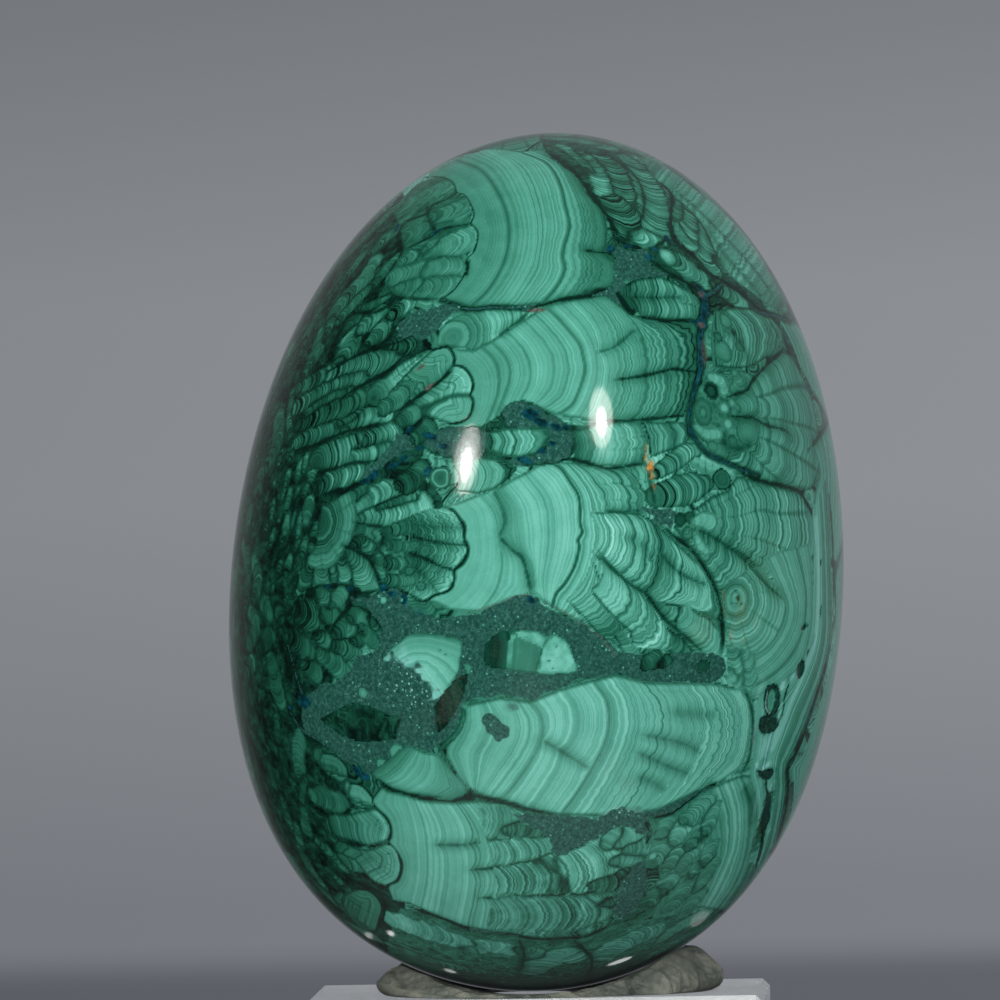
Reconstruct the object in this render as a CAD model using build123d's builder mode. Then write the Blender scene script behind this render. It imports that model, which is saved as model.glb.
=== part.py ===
"""Polished banded-stone egg standing in a hand-pressed putty ring on a clear square display block.

Millimetres. The origin is the centre of the block's underside, +Z is up, and -Y is the side that faces the viewer.
"""

import math
import os

from build123d import *

# ---------------------------------------------------------------- driving dimensions
BLOCK_SIDE = 50.8  # square display block, 2 inch
BLOCK_HEIGHT = 25.4  # 1 inch thick
BLOCK_CHAMFER = 0.8  # polished arris on every edge

EGG_LENGTH = 95.0  # pole to pole
EGG_TILT = 5.35  # lean of the egg's axis towards +X, degrees
EGG_SHAPE = (1138.9, -156.9, 206.7, -65.2)  # squared-radius polynomial in s, -1 at the blunt pole, +1 at the top
EGG_PROFILE_STEPS = 24  # points on the meridian
EGG_CONTACT = (-0.2, -8.0)  # where the egg's lowest point stands over the block
EGG_GAP = 0.20  # egg's lowest point above the block's top face

SEAT_CLEARANCE = 0.20  # between the egg and the putty pressed round it
SEAT_REACH = 14.0  # how far up the egg's axis the seat shape runs
PUTTY_HOLE_RADIUS = 5.0  # the egg squeezes the putty out from under its lowest point
VALLEY_RADIUS = 30.4  # the putty is thumbed down in front, in a trough of this radius
VALLEY_FLOOR = 0.45  # height of the trough's floor over the block where it starts
VALLEY_RISE = 2.2  # slope of the trough's floor towards the viewer, degrees

# putty outline: height over the block, then the radius every 30 degrees from +X round by +Y
PUTTY_LEVELS = (
    (0.0, (20.5, 19.6, 18.6, 18.0, 17.8, 17.3, 16.4, 15.9, 15.6, 15.6, 16.2, 18.4)),
    (0.8, (22.4, 21.0, 19.7, 19.0, 18.7, 18.2, 17.3, 16.4, 15.7, 15.4, 16.2, 19.4)),
    (1.8, (22.8, 21.3, 19.8, 19.1, 18.8, 18.2, 17.2, 15.9, 14.6, 14.0, 15.2, 19.2)),
    (2.9, (21.9, 20.6, 19.0, 18.4, 18.0, 17.2, 15.6, 14.2, 12.5, 12.0, 13.4, 18.4)),
    (4.0, (20.4, 19.2, 17.4, 16.9, 16.6, 15.6, 13.3, 12.0, 10.8, 10.4, 11.6, 16.8)),
    (5.0, (17.7, 16.6, 15.4, 14.9, 14.6, 13.6, 11.6, 10.4, 9.4, 9.0, 10.0, 14.6)),
)

# ---------------------------------------------------------------- derived values
half = EGG_LENGTH / 2
tilt = math.radians(EGG_TILT)


def egg_radius(s):
    """Radius of the egg at s along its axis, -1 at the blunt pole and +1 at the top."""
    c0, c1, c2, c3 = EGG_SHAPE
    return math.sqrt(max(0.0, (1 - s * s) * (c0 + c1 * s + c2 * s * s + c3 * s**3)))


def egg_point(u):
    """Point of the meridian, radius and distance along the axis from the egg's middle; u runs 0 to pi from the bottom."""
    s = -math.cos(u)
    return (egg_radius(s), half * s)


def seat_point(u):
    """The meridian moved outwards by the seat's clearance."""
    r, z = egg_point(u)
    r1, z1 = egg_point(u + 1e-4)
    r0, z0 = egg_point(max(u - 1e-4, 0.0))
    length = math.hypot(r1 - r0, z1 - z0)
    return (r + SEAT_CLEARANCE * (z1 - z0) / length, z - SEAT_CLEARANCE * (r1 - r0) / length)


# the egg's lowest point once it leans, measured from its middle
lowest = min((egg_point(0.0005 * i) for i in range(1, 1200)), key=lambda p: p[1] * math.cos(tilt) - p[0] * math.sin(tilt))
egg_x = EGG_CONTACT[0] - (lowest[1] * math.sin(tilt) + lowest[0] * math.cos(tilt))
egg_z = BLOCK_HEIGHT + EGG_GAP - (lowest[1] * math.cos(tilt) - lowest[0] * math.sin(tilt))
egg_plane = Plane(
    origin=(egg_x, EGG_CONTACT[1], egg_z),
    x_dir=(math.cos(tilt), 0, -math.sin(tilt)),
    z_dir=(0, -1, 0),
)
egg_axis = Axis(egg_plane.origin, egg_plane.y_dir)
putty_plane = Plane(origin=(EGG_CONTACT[0], EGG_CONTACT[1], BLOCK_HEIGHT))

# the egg's outline goes up its right side and down its left, and the seat's runs from left to right under the egg
right_side = [egg_point(math.pi * i / EGG_PROFILE_STEPS) for i in range(1, EGG_PROFILE_STEPS)]
egg_outline = [(0.0, -half)] + right_side + [(0.0, half)] + [(-r, z) for r, z in reversed(right_side)]

seat_top = math.acos(1 - SEAT_REACH / half)
seat_side = [seat_point(seat_top * i / 12) for i in range(1, 13)]
seat_outline = [(-r, z) for r, z in reversed(seat_side)] + [(0.0, -half - SEAT_CLEARANCE)] + seat_side


def putty_outline(radii):
    """Closed ring of points round the egg's foot."""
    step = 2 * math.pi / len(radii)
    return [(r * math.cos(step * i), r * math.sin(step * i)) for i, r in enumerate(radii)]


os.makedirs("parts", exist_ok=True)

# ---------------------------------------------------------------- display block
with BuildPart() as acrylic_block:
    with BuildSketch(Plane.XY):
        Rectangle(BLOCK_SIDE, BLOCK_SIDE)
    extrude(amount=BLOCK_HEIGHT)
    chamfer(acrylic_block.edges(), length=BLOCK_CHAMFER)
acrylic_block.part.label = "acrylic_block"
export_step(acrylic_block.part, "parts/acrylic_block.step")

# ---------------------------------------------------------------- putty ring
with BuildPart() as mounting_putty:
    # lump of putty, wider above its foot and taller on the +X side
    for height, radii in PUTTY_LEVELS:
        with BuildSketch(putty_plane.offset(height)):
            with BuildLine():
                Spline(*putty_outline(radii), periodic=True)
            make_face()
    loft()
    # seat pressed by the egg
    with BuildSketch(egg_plane):
        with BuildLine():
            Spline(*seat_outline)
            Line(seat_outline[-1], seat_outline[0])
        make_face()
        Rectangle(EGG_LENGTH, 2 * EGG_LENGTH, align=(Align.MIN, Align.CENTER), mode=Mode.INTERSECT)
    revolve(axis=egg_axis, mode=Mode.SUBTRACT)
    # front of the ring thumbed down so the egg's foot shows
    with BuildSketch(
        Plane(
            origin=(EGG_CONTACT[0], EGG_CONTACT[1], BLOCK_HEIGHT + VALLEY_FLOOR + VALLEY_RADIUS),
            x_dir=(1, 0, 0),
            z_dir=(0, -math.cos(math.radians(VALLEY_RISE)), math.sin(math.radians(VALLEY_RISE))),
        )
    ):
        Circle(VALLEY_RADIUS)
    extrude(amount=40, mode=Mode.SUBTRACT)
    # bare patch under the egg's lowest point
    with BuildSketch(putty_plane):
        Circle(PUTTY_HOLE_RADIUS)
    extrude(amount=4, mode=Mode.SUBTRACT)
mounting_putty.part.label = "mounting_putty"
export_step(mounting_putty.part, "parts/mounting_putty.step")

# ---------------------------------------------------------------- stone egg
with BuildPart() as stone_egg:
    with BuildSketch(egg_plane):
        with BuildLine():
            Spline(*egg_outline, periodic=True)
        make_face()
        Rectangle(EGG_LENGTH, 2 * EGG_LENGTH, align=(Align.MIN, Align.CENTER), mode=Mode.INTERSECT)
    revolve(axis=egg_axis)
stone_egg.part.label = "stone_egg"
export_step(stone_egg.part, "parts/stone_egg.step")
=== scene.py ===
"""Looks of a polished banded-stone egg that stands in a putty ring on a clear display block."""

import bpy
from mathutils import Matrix, Vector
import math

import numpy as np


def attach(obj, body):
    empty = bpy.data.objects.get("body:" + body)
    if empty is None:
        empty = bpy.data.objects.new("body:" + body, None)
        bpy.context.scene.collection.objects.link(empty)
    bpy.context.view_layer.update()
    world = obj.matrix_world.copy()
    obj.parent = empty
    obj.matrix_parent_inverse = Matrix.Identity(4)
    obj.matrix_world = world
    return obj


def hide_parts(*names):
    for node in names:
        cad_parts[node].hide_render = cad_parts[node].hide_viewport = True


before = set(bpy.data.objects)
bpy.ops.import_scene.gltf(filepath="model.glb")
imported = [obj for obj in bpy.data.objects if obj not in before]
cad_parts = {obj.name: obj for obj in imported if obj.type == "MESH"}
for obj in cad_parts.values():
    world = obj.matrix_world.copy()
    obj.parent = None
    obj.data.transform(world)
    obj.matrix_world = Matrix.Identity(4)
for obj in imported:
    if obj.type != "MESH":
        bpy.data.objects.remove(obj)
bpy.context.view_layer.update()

BLOCK_SIDE = 50.8
BLOCK_HEIGHT = 25.4
EGG_HALF = 47.5
EGG_TILT = math.radians(5.35)
EGG_SHAPE = (1138.9, -156.9, 206.7, -65.2)
EGG_CONTACT = (-0.2, -8.0)
EGG_GAP = 0.20

AXIS = np.array([math.sin(EGG_TILT), 0.0, math.cos(EGG_TILT)])
SIDE = np.array([math.cos(EGG_TILT), 0.0, -math.sin(EGG_TILT)])
FACE = np.array([0.0, -1.0, 0.0])


def egg_square(s):
    """Squared radius of the egg at s along its axis."""
    c0, c1, c2, c3 = EGG_SHAPE
    return (1 - s * s) * (c0 + c1 * s + c2 * s * s + c3 * s**3)


def egg_slope(s):
    """Derivative of the squared radius by s."""
    c0, c1, c2, c3 = EGG_SHAPE
    return -2 * s * (c0 + c1 * s + c2 * s * s + c3 * s**3) + (1 - s * s) * (c1 + 2 * c2 * s + 3 * c3 * s * s)


def egg_centre():
    u = 0.0005 * np.arange(1, 1200)
    s = -np.cos(u)
    r, z = np.sqrt(np.maximum(egg_square(s), 0)), EGG_HALF * s
    k = np.argmin(z * math.cos(EGG_TILT) - r * math.sin(EGG_TILT))
    x = EGG_CONTACT[0] - (z[k] * math.sin(EGG_TILT) + r[k] * math.cos(EGG_TILT))
    up = BLOCK_HEIGHT + EGG_GAP - (z[k] * math.cos(EGG_TILT) - r[k] * math.sin(EGG_TILT))
    return np.array([x, EGG_CONTACT[1], up])


CENTRE = egg_centre()


def egg_points(s, phi):
    """Points and outward normals at s along the axis and phi round it, 0 towards the viewer and 90 degrees to the right."""
    r = np.sqrt(np.maximum(egg_square(s), 0))
    ring = np.sin(phi)[..., None] * SIDE + np.cos(phi)[..., None] * FACE
    p = CENTRE + (EGG_HALF * s)[..., None] * AXIS + r[..., None] * ring
    n = r[..., None] * ring - (0.5 * egg_slope(s) / EGG_HALF)[..., None] * AXIS
    return p, n / np.linalg.norm(n, axis=-1, keepdims=True)


# ---------------------------------------------------------------- camera, millimetres
CAM_DISTANCE = 2000.0
CAM_AZIMUTH = math.radians(1.7)
CAM_HEIGHT = 100.85
CAM_ROLL = math.radians(1.0)
MM_PER_PX = 0.1105
FOCAL = CAM_DISTANCE / MM_PER_PX
LOOK = np.array([(-3.24 + 8 * math.sin(CAM_AZIMUTH)) / math.cos(CAM_AZIMUTH), -8.0, 79.95])


def camera_frame():
    place = np.array(
        [
            LOOK[0] + CAM_DISTANCE * math.sin(CAM_AZIMUTH),
            LOOK[1] - CAM_DISTANCE * math.cos(CAM_AZIMUTH),
            CAM_HEIGHT,
        ]
    )
    ahead = (LOOK - place) / np.linalg.norm(LOOK - place)
    right = np.cross(ahead, (0, 0, 1.0))
    right /= np.linalg.norm(right)
    up = np.cross(right, ahead)
    c, s = math.cos(CAM_ROLL), math.sin(CAM_ROLL)
    return place, c * right - s * up, s * right + c * up, ahead


CAM_PLACE, CAM_RIGHT, CAM_UP, CAM_AHEAD = camera_frame()


def project(p):
    """Image place of points, in the 1000 px frame."""
    d = p - CAM_PLACE
    z = d @ CAM_AHEAD
    return 500 + FOCAL * (d @ CAM_RIGHT) / z, 500 - FOCAL * (d @ CAM_UP) / z


def facing(p, n):
    v = CAM_PLACE - p
    return (n * v).sum(-1) / np.linalg.norm(v, axis=-1)


CHART_X, CHART_Y = project(CENTRE[None])
CHART_X, CHART_Y = float(CHART_X[0]), float(CHART_Y[0])


def chart_of(p, n):
    """Stereographic-like flat map of the egg's near side: round things stay round up to its outline and past it."""
    x, y = project(p)
    f = facing(p, n)
    k = 2 / np.maximum(1 + f, 0.12)
    return np.stack([(x - CHART_X) * k, (y - CHART_Y) * k], -1), (1 + f) / 2


def lift(px):
    """Flat map places of image points on the egg."""
    px = np.asarray(px, float).reshape(-1, 2)
    ray = CAM_AHEAD + ((px[:, :1] - 500) * CAM_RIGHT - (px[:, 1:] - 500) * CAM_UP) / FOCAL
    reach = CAM_DISTANCE + np.linspace(-40, 8, 97)

    def inside(t):
        q = CAM_PLACE + t[..., None] * ray[:, None, :] - CENTRE
        s = (q @ AXIS) / EGG_HALF
        rho = (q @ SIDE) ** 2 + (q @ FACE) ** 2
        return np.where(np.abs(s) <= 1, egg_square(np.clip(s, -1, 1)), -40 * (np.abs(s) - 1)) - rho

    t = np.broadcast_to(reach, (len(px), len(reach)))
    g = inside(t)
    hit = (g > 0).any(1)
    first = np.argmax(g > 0, axis=1)
    best = np.argmax(g, axis=1)
    hi = t[np.arange(len(px)), np.where(hit, first, best)]
    lo = np.where(hit, hi - 0.5, hi)
    for _ in range(24):
        mid = (lo + hi) / 2
        ok = inside(mid[:, None])[:, 0] > 0
        hi = np.where(ok & hit, mid, hi)
        lo = np.where(~ok & hit, mid, lo)
    p = CAM_PLACE + hi[:, None] * ray
    q = p - CENTRE
    s = np.clip((q @ AXIS) / EGG_HALF, -1, 1)
    ring = (q @ SIDE)[:, None] * SIDE + (q @ FACE)[:, None] * FACE
    n = ring - (0.5 * egg_slope(s) / EGG_HALF)[:, None] * AXIS
    n /= np.linalg.norm(n, axis=1, keepdims=True)
    f = np.where(hit, facing(p, n), 0.0)
    off = np.where(hit, 0.0, np.maximum(-g.max(1), 0) / 700)
    k = 2 / (1 + np.clip(f, 0, 1)) * (1 + 3 * np.minimum(off, 0.3))
    return np.stack([(px[:, 0] - CHART_X) * k, (px[:, 1] - CHART_Y) * k], -1)


# ---------------------------------------------------------------- small helpers
def smooth(a, b, x):
    t = np.clip((x - a) / (b - a), 0, 1)
    return t * t * (3 - 2 * t)


def lattice(i, j, seed):
    n = (i.astype(np.int64) * 374761393 + j.astype(np.int64) * 668265263 + seed * 1442695041) & 0xFFFFFFFF
    n = ((n ^ (n >> 13)) * 1274126177) & 0xFFFFFFFF
    return ((n ^ (n >> 16)) & 0xFFFFFF) / float(0xFFFFFF)


def noise2(x, y, seed=0):
    """Smooth value noise, -1 to 1."""
    i, j = np.floor(x), np.floor(y)
    fx, fy = x - i, y - j
    fx, fy = fx * fx * (3 - 2 * fx), fy * fy * (3 - 2 * fy)
    a, b = lattice(i, j, seed), lattice(i + 1, j, seed)
    c, d = lattice(i, j + 1, seed), lattice(i + 1, j + 1, seed)
    return 2 * ((a * (1 - fx) + b * fx) * (1 - fy) + (c * (1 - fx) + d * fx) * fy) - 1


def curve(points, per=6):
    """Smooth line through points; a point with a third value 1 stays a corner. Image px in, flat map places out."""
    pts = [tuple(p[:2]) for p in points]
    corner = [len(p) > 2 and p[2] == 1 for p in points]
    out = []
    start = 0
    for end in range(1, len(pts)):
        if corner[end] or end == len(pts) - 1:
            run = np.array(pts[start : end + 1], float)
            if len(run) == 2:
                out += [run[0] + (run[1] - run[0]) * t / per for t in range(per)]
            else:
                ext = np.vstack([2 * run[0] - run[1], run, 2 * run[-1] - run[-2]])
                for k in range(1, len(run)):
                    p0, p1, p2, p3 = ext[k - 1 : k + 3]
                    for t in np.arange(per) / per:
                        out.append(
                            0.5
                            * (
                                2 * p1
                                + (p2 - p0) * t
                                + (2 * p0 - 5 * p1 + 4 * p2 - p3) * t * t
                                + (3 * p1 - p0 - 3 * p2 + p3) * t**3
                            )
                        )
            start = end
    out.append(np.array(pts[-1], float))
    return lift(out)


def near(xy, line):
    """Distance, place along (0 to 1) and side of the nearest point of a line; the side is positive on the growth side."""
    a, ab = line[:-1], line[1:] - line[:-1]
    l2 = np.maximum((ab**2).sum(1), 1e-9)
    seg = np.sqrt(l2)
    cum = np.concatenate([[0], np.cumsum(seg)])
    dist, along, side = np.empty(len(xy)), np.empty(len(xy)), np.empty(len(xy))
    step = max(1, int(2.5e6 // len(a)))
    for c in range(0, len(xy), step):
        ap = xy[c : c + step, None, :] - a
        t = np.clip((ap * ab).sum(2) / l2, 0, 1)
        q = ap - t[..., None] * ab
        d2 = (q**2).sum(2)
        cross = (ab[:, 0] * ap[..., 1] - ab[:, 1] * ap[..., 0]) / seg
        j = (d2 - 1e-5 * cross**2).argmin(1)
        k = np.arange(len(j))
        dist[c : c + step] = np.sqrt(d2[k, j])
        along[c : c + step] = (cum[j] + t[k, j] * seg[j]) / cum[-1]
        side[c : c + step] = np.where(cross[k, j] <= 0, 1.0, -1.0)
    return dist, along, side, cum[-1]


def run_on(line, reach):
    """The line with straight ends added, each reach long."""
    a, b = line[0] - line[min(3, len(line) - 1)], line[-1] - line[max(-4, -len(line))]
    a, b = a / max(np.linalg.norm(a), 1e-6), b / max(np.linalg.norm(b), 1e-6)
    return np.vstack([line[0] + reach * a, line, line[-1] + reach * b])


def within(xy, ring):
    """Which points lie inside a closed ring."""
    inside = np.zeros(len(xy), bool)
    x, y = xy[:, 0], xy[:, 1]
    a, b = ring, np.roll(ring, -1, axis=0)
    for (x0, y0), (x1, y1) in zip(a, b):
        if y0 == y1:
            continue
        hit = (y0 > y) != (y1 > y)
        inside ^= hit & (x < (x1 - x0) * (y - y0) / (y1 - y0) + x0)
    return inside


def cells(along, seed, width, spread=0.45):
    """Splits a length into uneven columns: how far each place is from its column's middle, 0 to 1, and half its width."""
    rng = np.random.default_rng(seed)
    lo, hi = along.min() - 3 * width, along.max() + 3 * width
    steps = width * (1 + spread * (2 * rng.random(int((hi - lo) / width / (1 - spread)) + 4) - 1))
    edges = lo - rng.random() * width + np.cumsum(steps)
    k = np.clip(np.searchsorted(edges, along), 1, len(edges) - 1)
    mid, halfw = (edges[k] + edges[k - 1]) / 2, (edges[k] - edges[k - 1]) / 2
    return np.abs(along - mid) / halfw, halfw, k


# ---------------------------------------------------------------- fields on the stone
class Stone:
    """Fields over a set of surface points: how light the stone is, its banding, seams, matrix and stains."""

    def __init__(self, p, n):
        self.p, self.n = p, n
        self.xy, self.lam = chart_of(p, n)
        self.seen = self.lam > 0.36
        count = len(p)
        self.tone = np.full(count, 0.3)
        self.amp = np.full(count, 0.3)
        self.grow = np.zeros(count)
        self.seam = np.zeros(count)
        self.matr = np.zeros(count)
        self.blue = np.zeros(count)
        self.warm = np.zeros(count)
        self.pale = np.zeros(count)
        self.ochre = np.zeros(count)
        self.pit = np.zeros(count)
        self.mark = 0

    def box(self, line, pad):
        lo, hi = line.min(0) - pad, line.max(0) + pad
        x, y = self.xy[:, 0], self.xy[:, 1]
        return np.nonzero(self.seen & (x > lo[0]) & (x < hi[0]) & (y > lo[1]) & (y < hi[1]))[0]

    def put(self, i, tone, amp, grow, seam=0.0):
        self.mark += 1
        self.tone[i], self.amp[i], self.grow[i] = tone, amp, grow + 317.0 * self.mark
        self.seam[i] = seam
        self.matr[i] = self.blue[i] = self.warm[i] = self.ochre[i] = self.pale[i] = 0

    def area(self, ring, tone, amp):
        """Plain mottled ground inside a ring."""
        line = curve(list(ring) + [ring[0]])
        i = self.box(line, 2)
        i = i[within(self.xy[i], line)]
        # near the outline the growths behind show through, only darker
        bare = self.lam[i] < 0.585 + 0.03 * noise2(self.xy[i, 0] / 45.0, self.xy[i, 1] / 45.0, 70)
        k = i[bare]
        part = 0.6 * smooth(0.42, 0.54, self.lam[k])
        self.tone[k] += part * (tone - self.tone[k])
        self.amp[k] += part * (amp - self.amp[k])
        i = i[~bare]
        x, y = self.xy[i, 0], self.xy[i, 1]
        blot = noise2(x / 11.0, y / 8.0, 71) + 0.6 * noise2(x / 4.5, y / 3.6, 72)
        self.put(i, np.maximum(tone + 0.09 * blot, 0.02), amp, 14.0 * noise2(x / 15.0, y / 15.0, 73) + 5.0 * noise2(x / 5.0, y / 5.0, 74))

    def scallop(self, grow, lateral, seed, depth, width, fine):
        """Bends bands into columns: depth and width in px, fine is the share of a second, smaller set. Gives the new growth and the columns' edges."""
        bent = lateral + 0.30 * width * noise2(lateral / (2.2 * width), grow / 60.0, seed)
        w1, h1, _ = cells(bent, seed, width)
        bent2 = lateral + 0.2 * width * noise2(lateral / width, grow / 40.0, seed + 5)
        w2, h2, _ = cells(bent2, seed + 1, width * 0.45)
        out = grow + depth * (w1**2.4 - 0.29) + 0.45 * fine * depth * (w2**2.4 - 0.29)
        edge = np.maximum(smooth(0.86, 1.0, w1), 0.4 * smooth(0.86, 1.0, w2) * fine)
        return out, edge

    def fan(self, isos, amp=0.3, depth=(0.0, 3.0), width=13.0, fine=0.7, edge=(0.5, 4.0), ring=None, crack=0.35, seed=None, power=1.0, late=(0.4, 0.9)):
        """A growth of bands between given growth lines. isos: (tone, dark line, points) from the inside out."""
        seed = 1000 + self.mark * 7 if seed is None else seed
        lines = [curve(pts) for _, _, pts in isos]
        if ring is None:
            ring = np.vstack(
                [lines[0], np.array([l[-1] for l in lines[1:-1]]).reshape(-1, 2), lines[-1][::-1], np.array([l[0] for l in lines[-2:0:-1]]).reshape(-1, 2)]
            )
        else:
            ring = curve(list(ring) + [ring[0]])
        i = self.box(ring, 2)
        i = i[within(self.xy[i], ring)]
        if not len(i):
            return
        xy, lam = self.xy[i], self.lam[i]
        found = [near(xy, run_on(l, 30.0)) for l in lines]
        dist = np.stack([f[0] for f in found])
        side = np.stack([f[2] for f in found])
        between = (side[:-1] > 0) & (side[1:] < 0)
        pick = np.where(between, dist[:-1] + dist[1:], np.inf).argmin(0)
        past = np.where(between.any(0), pick + 1, np.where(dist[0] < dist[-1], 0, len(lines)))
        k = np.clip(past - 1, 0, len(lines) - 2)
        alng = np.stack([f[1] for f in found])
        length = np.array([f[3] for f in found])
        gaps = []
        for a, b in zip(lines, lines[1:]):
            mid = a[len(a) // 4 : max(3 * len(a) // 4, len(a) // 4 + 1)]
            gaps.append(float(np.median(near(mid, b)[0])))
        scale = float(np.mean(lam))
        level = np.concatenate([[0], np.cumsum(gaps)]) * scale
        c = np.arange(len(i))
        d0, d1 = dist[k, c], dist[k + 1, c]
        f = np.where(past <= 0, -d0 / np.maximum(level[k + 1] - level[k], 1) * scale, np.where(past >= len(lines), 1 + d1 * scale / np.maximum(level[k + 1] - level[k], 1), d0 / np.maximum(d0 + d1, 1e-6)))
        grow = level[k] + (level[k + 1] - level[k]) * f
        fc = np.clip(f, 0, 1)
        lateral = ((1 - fc) * alng[k, c] + fc * alng[k + 1, c]) * ((1 - fc) * length[k] + fc * length[k + 1]) * scale
        lateral = (lateral + np.mean(length) * scale * ((1 - fc) * alng[k, c] + fc * alng[k + 1, c])) / 2
        tones = np.array([t for t, _, _ in isos])
        tone = tones[k] + (tones[k + 1] - tones[k]) * fc**power
        span = max(level[-1], 1)
        rise = np.clip(grow / span, 0, 1)
        a = depth[0] + (depth[1] - depth[0]) * smooth(late[0], late[1], rise)
        grow2, col = self.scallop(grow, lateral, seed, 1.0, width, fine)
        grow2 = grow + a * (grow2 - grow)
        seam = crack * col * smooth(0.1, 0.9, np.abs(a) / 6.0)
        for (_, dark, _), d in zip(isos, dist):
            if dark:
                seam = np.maximum(seam, abs(dark) * (1 - smooth(0.6, 2.4, d * lam)))
        if edge[0]:
            rim = near(xy, np.vstack([ring, ring[:1]]))[0] * lam
            first = np.minimum(dist[0], dist[-1]) * lam
            off = smooth(1.0, 6.0, first - rim)
            seam = np.maximum(seam, edge[0] * (1 - smooth(0.0, edge[1], rim)) * np.maximum(off, 0.35))
        if isinstance(amp, tuple):
            amp = amp[0] + (amp[1] - amp[0]) * rise
        self.put(i, tone, amp, grow2, seam)

    def lobe(self, front, back, tone=(0.45, 0.2), amp=0.3, reach=30.0, line=(0.95, 2.2), depth=2.5, width=12.0, edge=0.6, seed=None):
        """A lobe whose bands follow its rounded front. tone: at the front and reach px behind it."""
        seed = 3000 + self.mark * 7 if seed is None else seed
        f = curve(front)
        ring = np.vstack([f, curve([front[-1][:2]] + list(back) + [front[0][:2]])[1:-1]])
        i = self.box(ring, 6)
        d, u, side, length = near(self.xy[i], f)
        inside = within(self.xy[i], ring)
        lam = self.lam[i]
        outer = ~inside & (d * lam < line[1]) & (u > 0.01) & (u < 0.99)
        self.seam[i[outer]] = np.maximum(self.seam[i[outer]], line[0] * (1 - smooth(0.3 * line[1], line[1], d[outer] * lam[outer])))
        i, d, u, lam = i[inside], d[inside], u[inside], lam[inside]
        if not len(i):
            return
        back_d = near(self.xy[i], curve([front[-1][:2]] + list(back) + [front[0][:2]]))[0] * lam
        behind = d * lam
        grow, col = self.scallop(-behind, u * length * np.mean(lam), seed, depth, width, 0.5)
        seam = np.maximum(0.45 * col * smooth(2, 14, behind), edge * (1 - smooth(0.5, 4.5, back_d)))
        seam = np.maximum(seam, line[0] * (1 - smooth(0.3 * line[1], 0.9 * line[1], behind)))
        self.put(i, tone[0] + (tone[1] - tone[0]) * np.clip(behind / reach, 0, 1), amp, grow, seam)

    def finger(self, spine, tone=(0.3, 0.5), amp=0.32, bend=1.2, line=(0.6, 3.0), pinch=0.3, seed=0):
        """A column that grows along its spine, (x, y, half width) from its root to its tip, with bands rounded towards the tip."""
        s = np.array([p[:3] for p in spine], float)
        path = curve([(x, y) for x, y, _ in s])
        i = self.box(path, 2.4 * s[:, 2].max())
        xy, lam = self.xy[i], self.lam[i]
        d, u, side, length = near(xy, path)
        scale = float(np.mean(lam)) if len(i) else 1.0
        cum = np.concatenate([[0], np.cumsum(np.hypot(*np.diff(s[:, :2], axis=0).T))])
        half = np.interp(u, cum / cum[-1], s[:, 2])
        half = half * (1 + 0.12 * noise2(u * length / 9.0, side, 77 + seed))
        d = d * lam
        ok = d < half
        i, d, u, half, xy, side = i[ok], d[ok], u[ok], half[ok], xy[ok], side[ok]
        if not len(i):
            return
        end, last = path[-1], path[-1] - path[-3]
        last = last / np.linalg.norm(last)
        over = np.where(u >= 0.9999, (xy - end) @ last * scale, 0.0)
        v = np.where(u >= 0.9999, np.abs((xy - end) @ np.array([-last[1], last[0]])) * scale, d)
        along = u * length * scale + over
        w = np.clip(v / np.maximum(half, 1), 0, 1)
        grow = along + bend * 0.5 * half * w**2
        seam = line[0] * (1 - smooth(0.0, line[1], half - d))
        if pinch:
            seam = np.maximum(seam, pinch * smooth(0.55, 1.0, w))
        t = np.clip(along / max(length * scale, 1), 0, 1)
        self.put(i, tone[0] + (tone[1] - tone[0]) * t, amp, grow, seam)

    def radial(self, origin, ring, tone=(0.4, 0.6), amp=0.3, reach=90.0, squash=(1.0, 0.0), depth=(0.5, 4.0), turn=0.22, edge=(0.6, 4.5), crack=0.35, seed=None):
        """A fan of round arcs about an origin. squash: (stretch, angle in degrees) makes the arcs oval."""
        seed = 5000 + self.mark * 7 if seed is None else seed
        o = lift([origin])[0]
        line = curve(list(ring) + [ring[0]])
        i = self.box(line, 2)
        i = i[within(self.xy[i], line)]
        if not len(i):
            return
        xy, lam = self.xy[i], self.lam[i]
        d = (xy - o) * lam[:, None]
        ang = math.radians(squash[1])
        dx, dy = d[:, 0] * math.cos(ang) + d[:, 1] * math.sin(ang), -d[:, 0] * math.sin(ang) + d[:, 1] * math.cos(ang)
        r = np.hypot(dx / squash[0], dy)
        th = np.arctan2(dy, dx / squash[0])
        w, hw, _ = cells(th + 0.05 * noise2(r / 30, th * 3, seed), seed, turn)
        rise = np.clip(r / reach, 0, 1)
        w2 = cells(th + 0.05 * noise2(r / 21, th * 5, seed + 3), seed + 1, 0.42 * turn)[0]
        grow = r + (depth[0] + (depth[1] - depth[0]) * rise) * (w**2 - 0.33 + 0.25 * (w2**2 - 0.33))
        seam = crack * smooth(0.82, 1.0, w) * rise
        rim = near(xy, line)[0] * lam
        seam = np.maximum(seam, edge[0] * (1 - smooth(0.0, edge[1], rim)))
        self.put(i, tone[0] + (tone[1] - tone[0]) * rise, amp * (0.25 + 0.75 * smooth(3.0, 18.0, r)), grow, seam)

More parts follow.
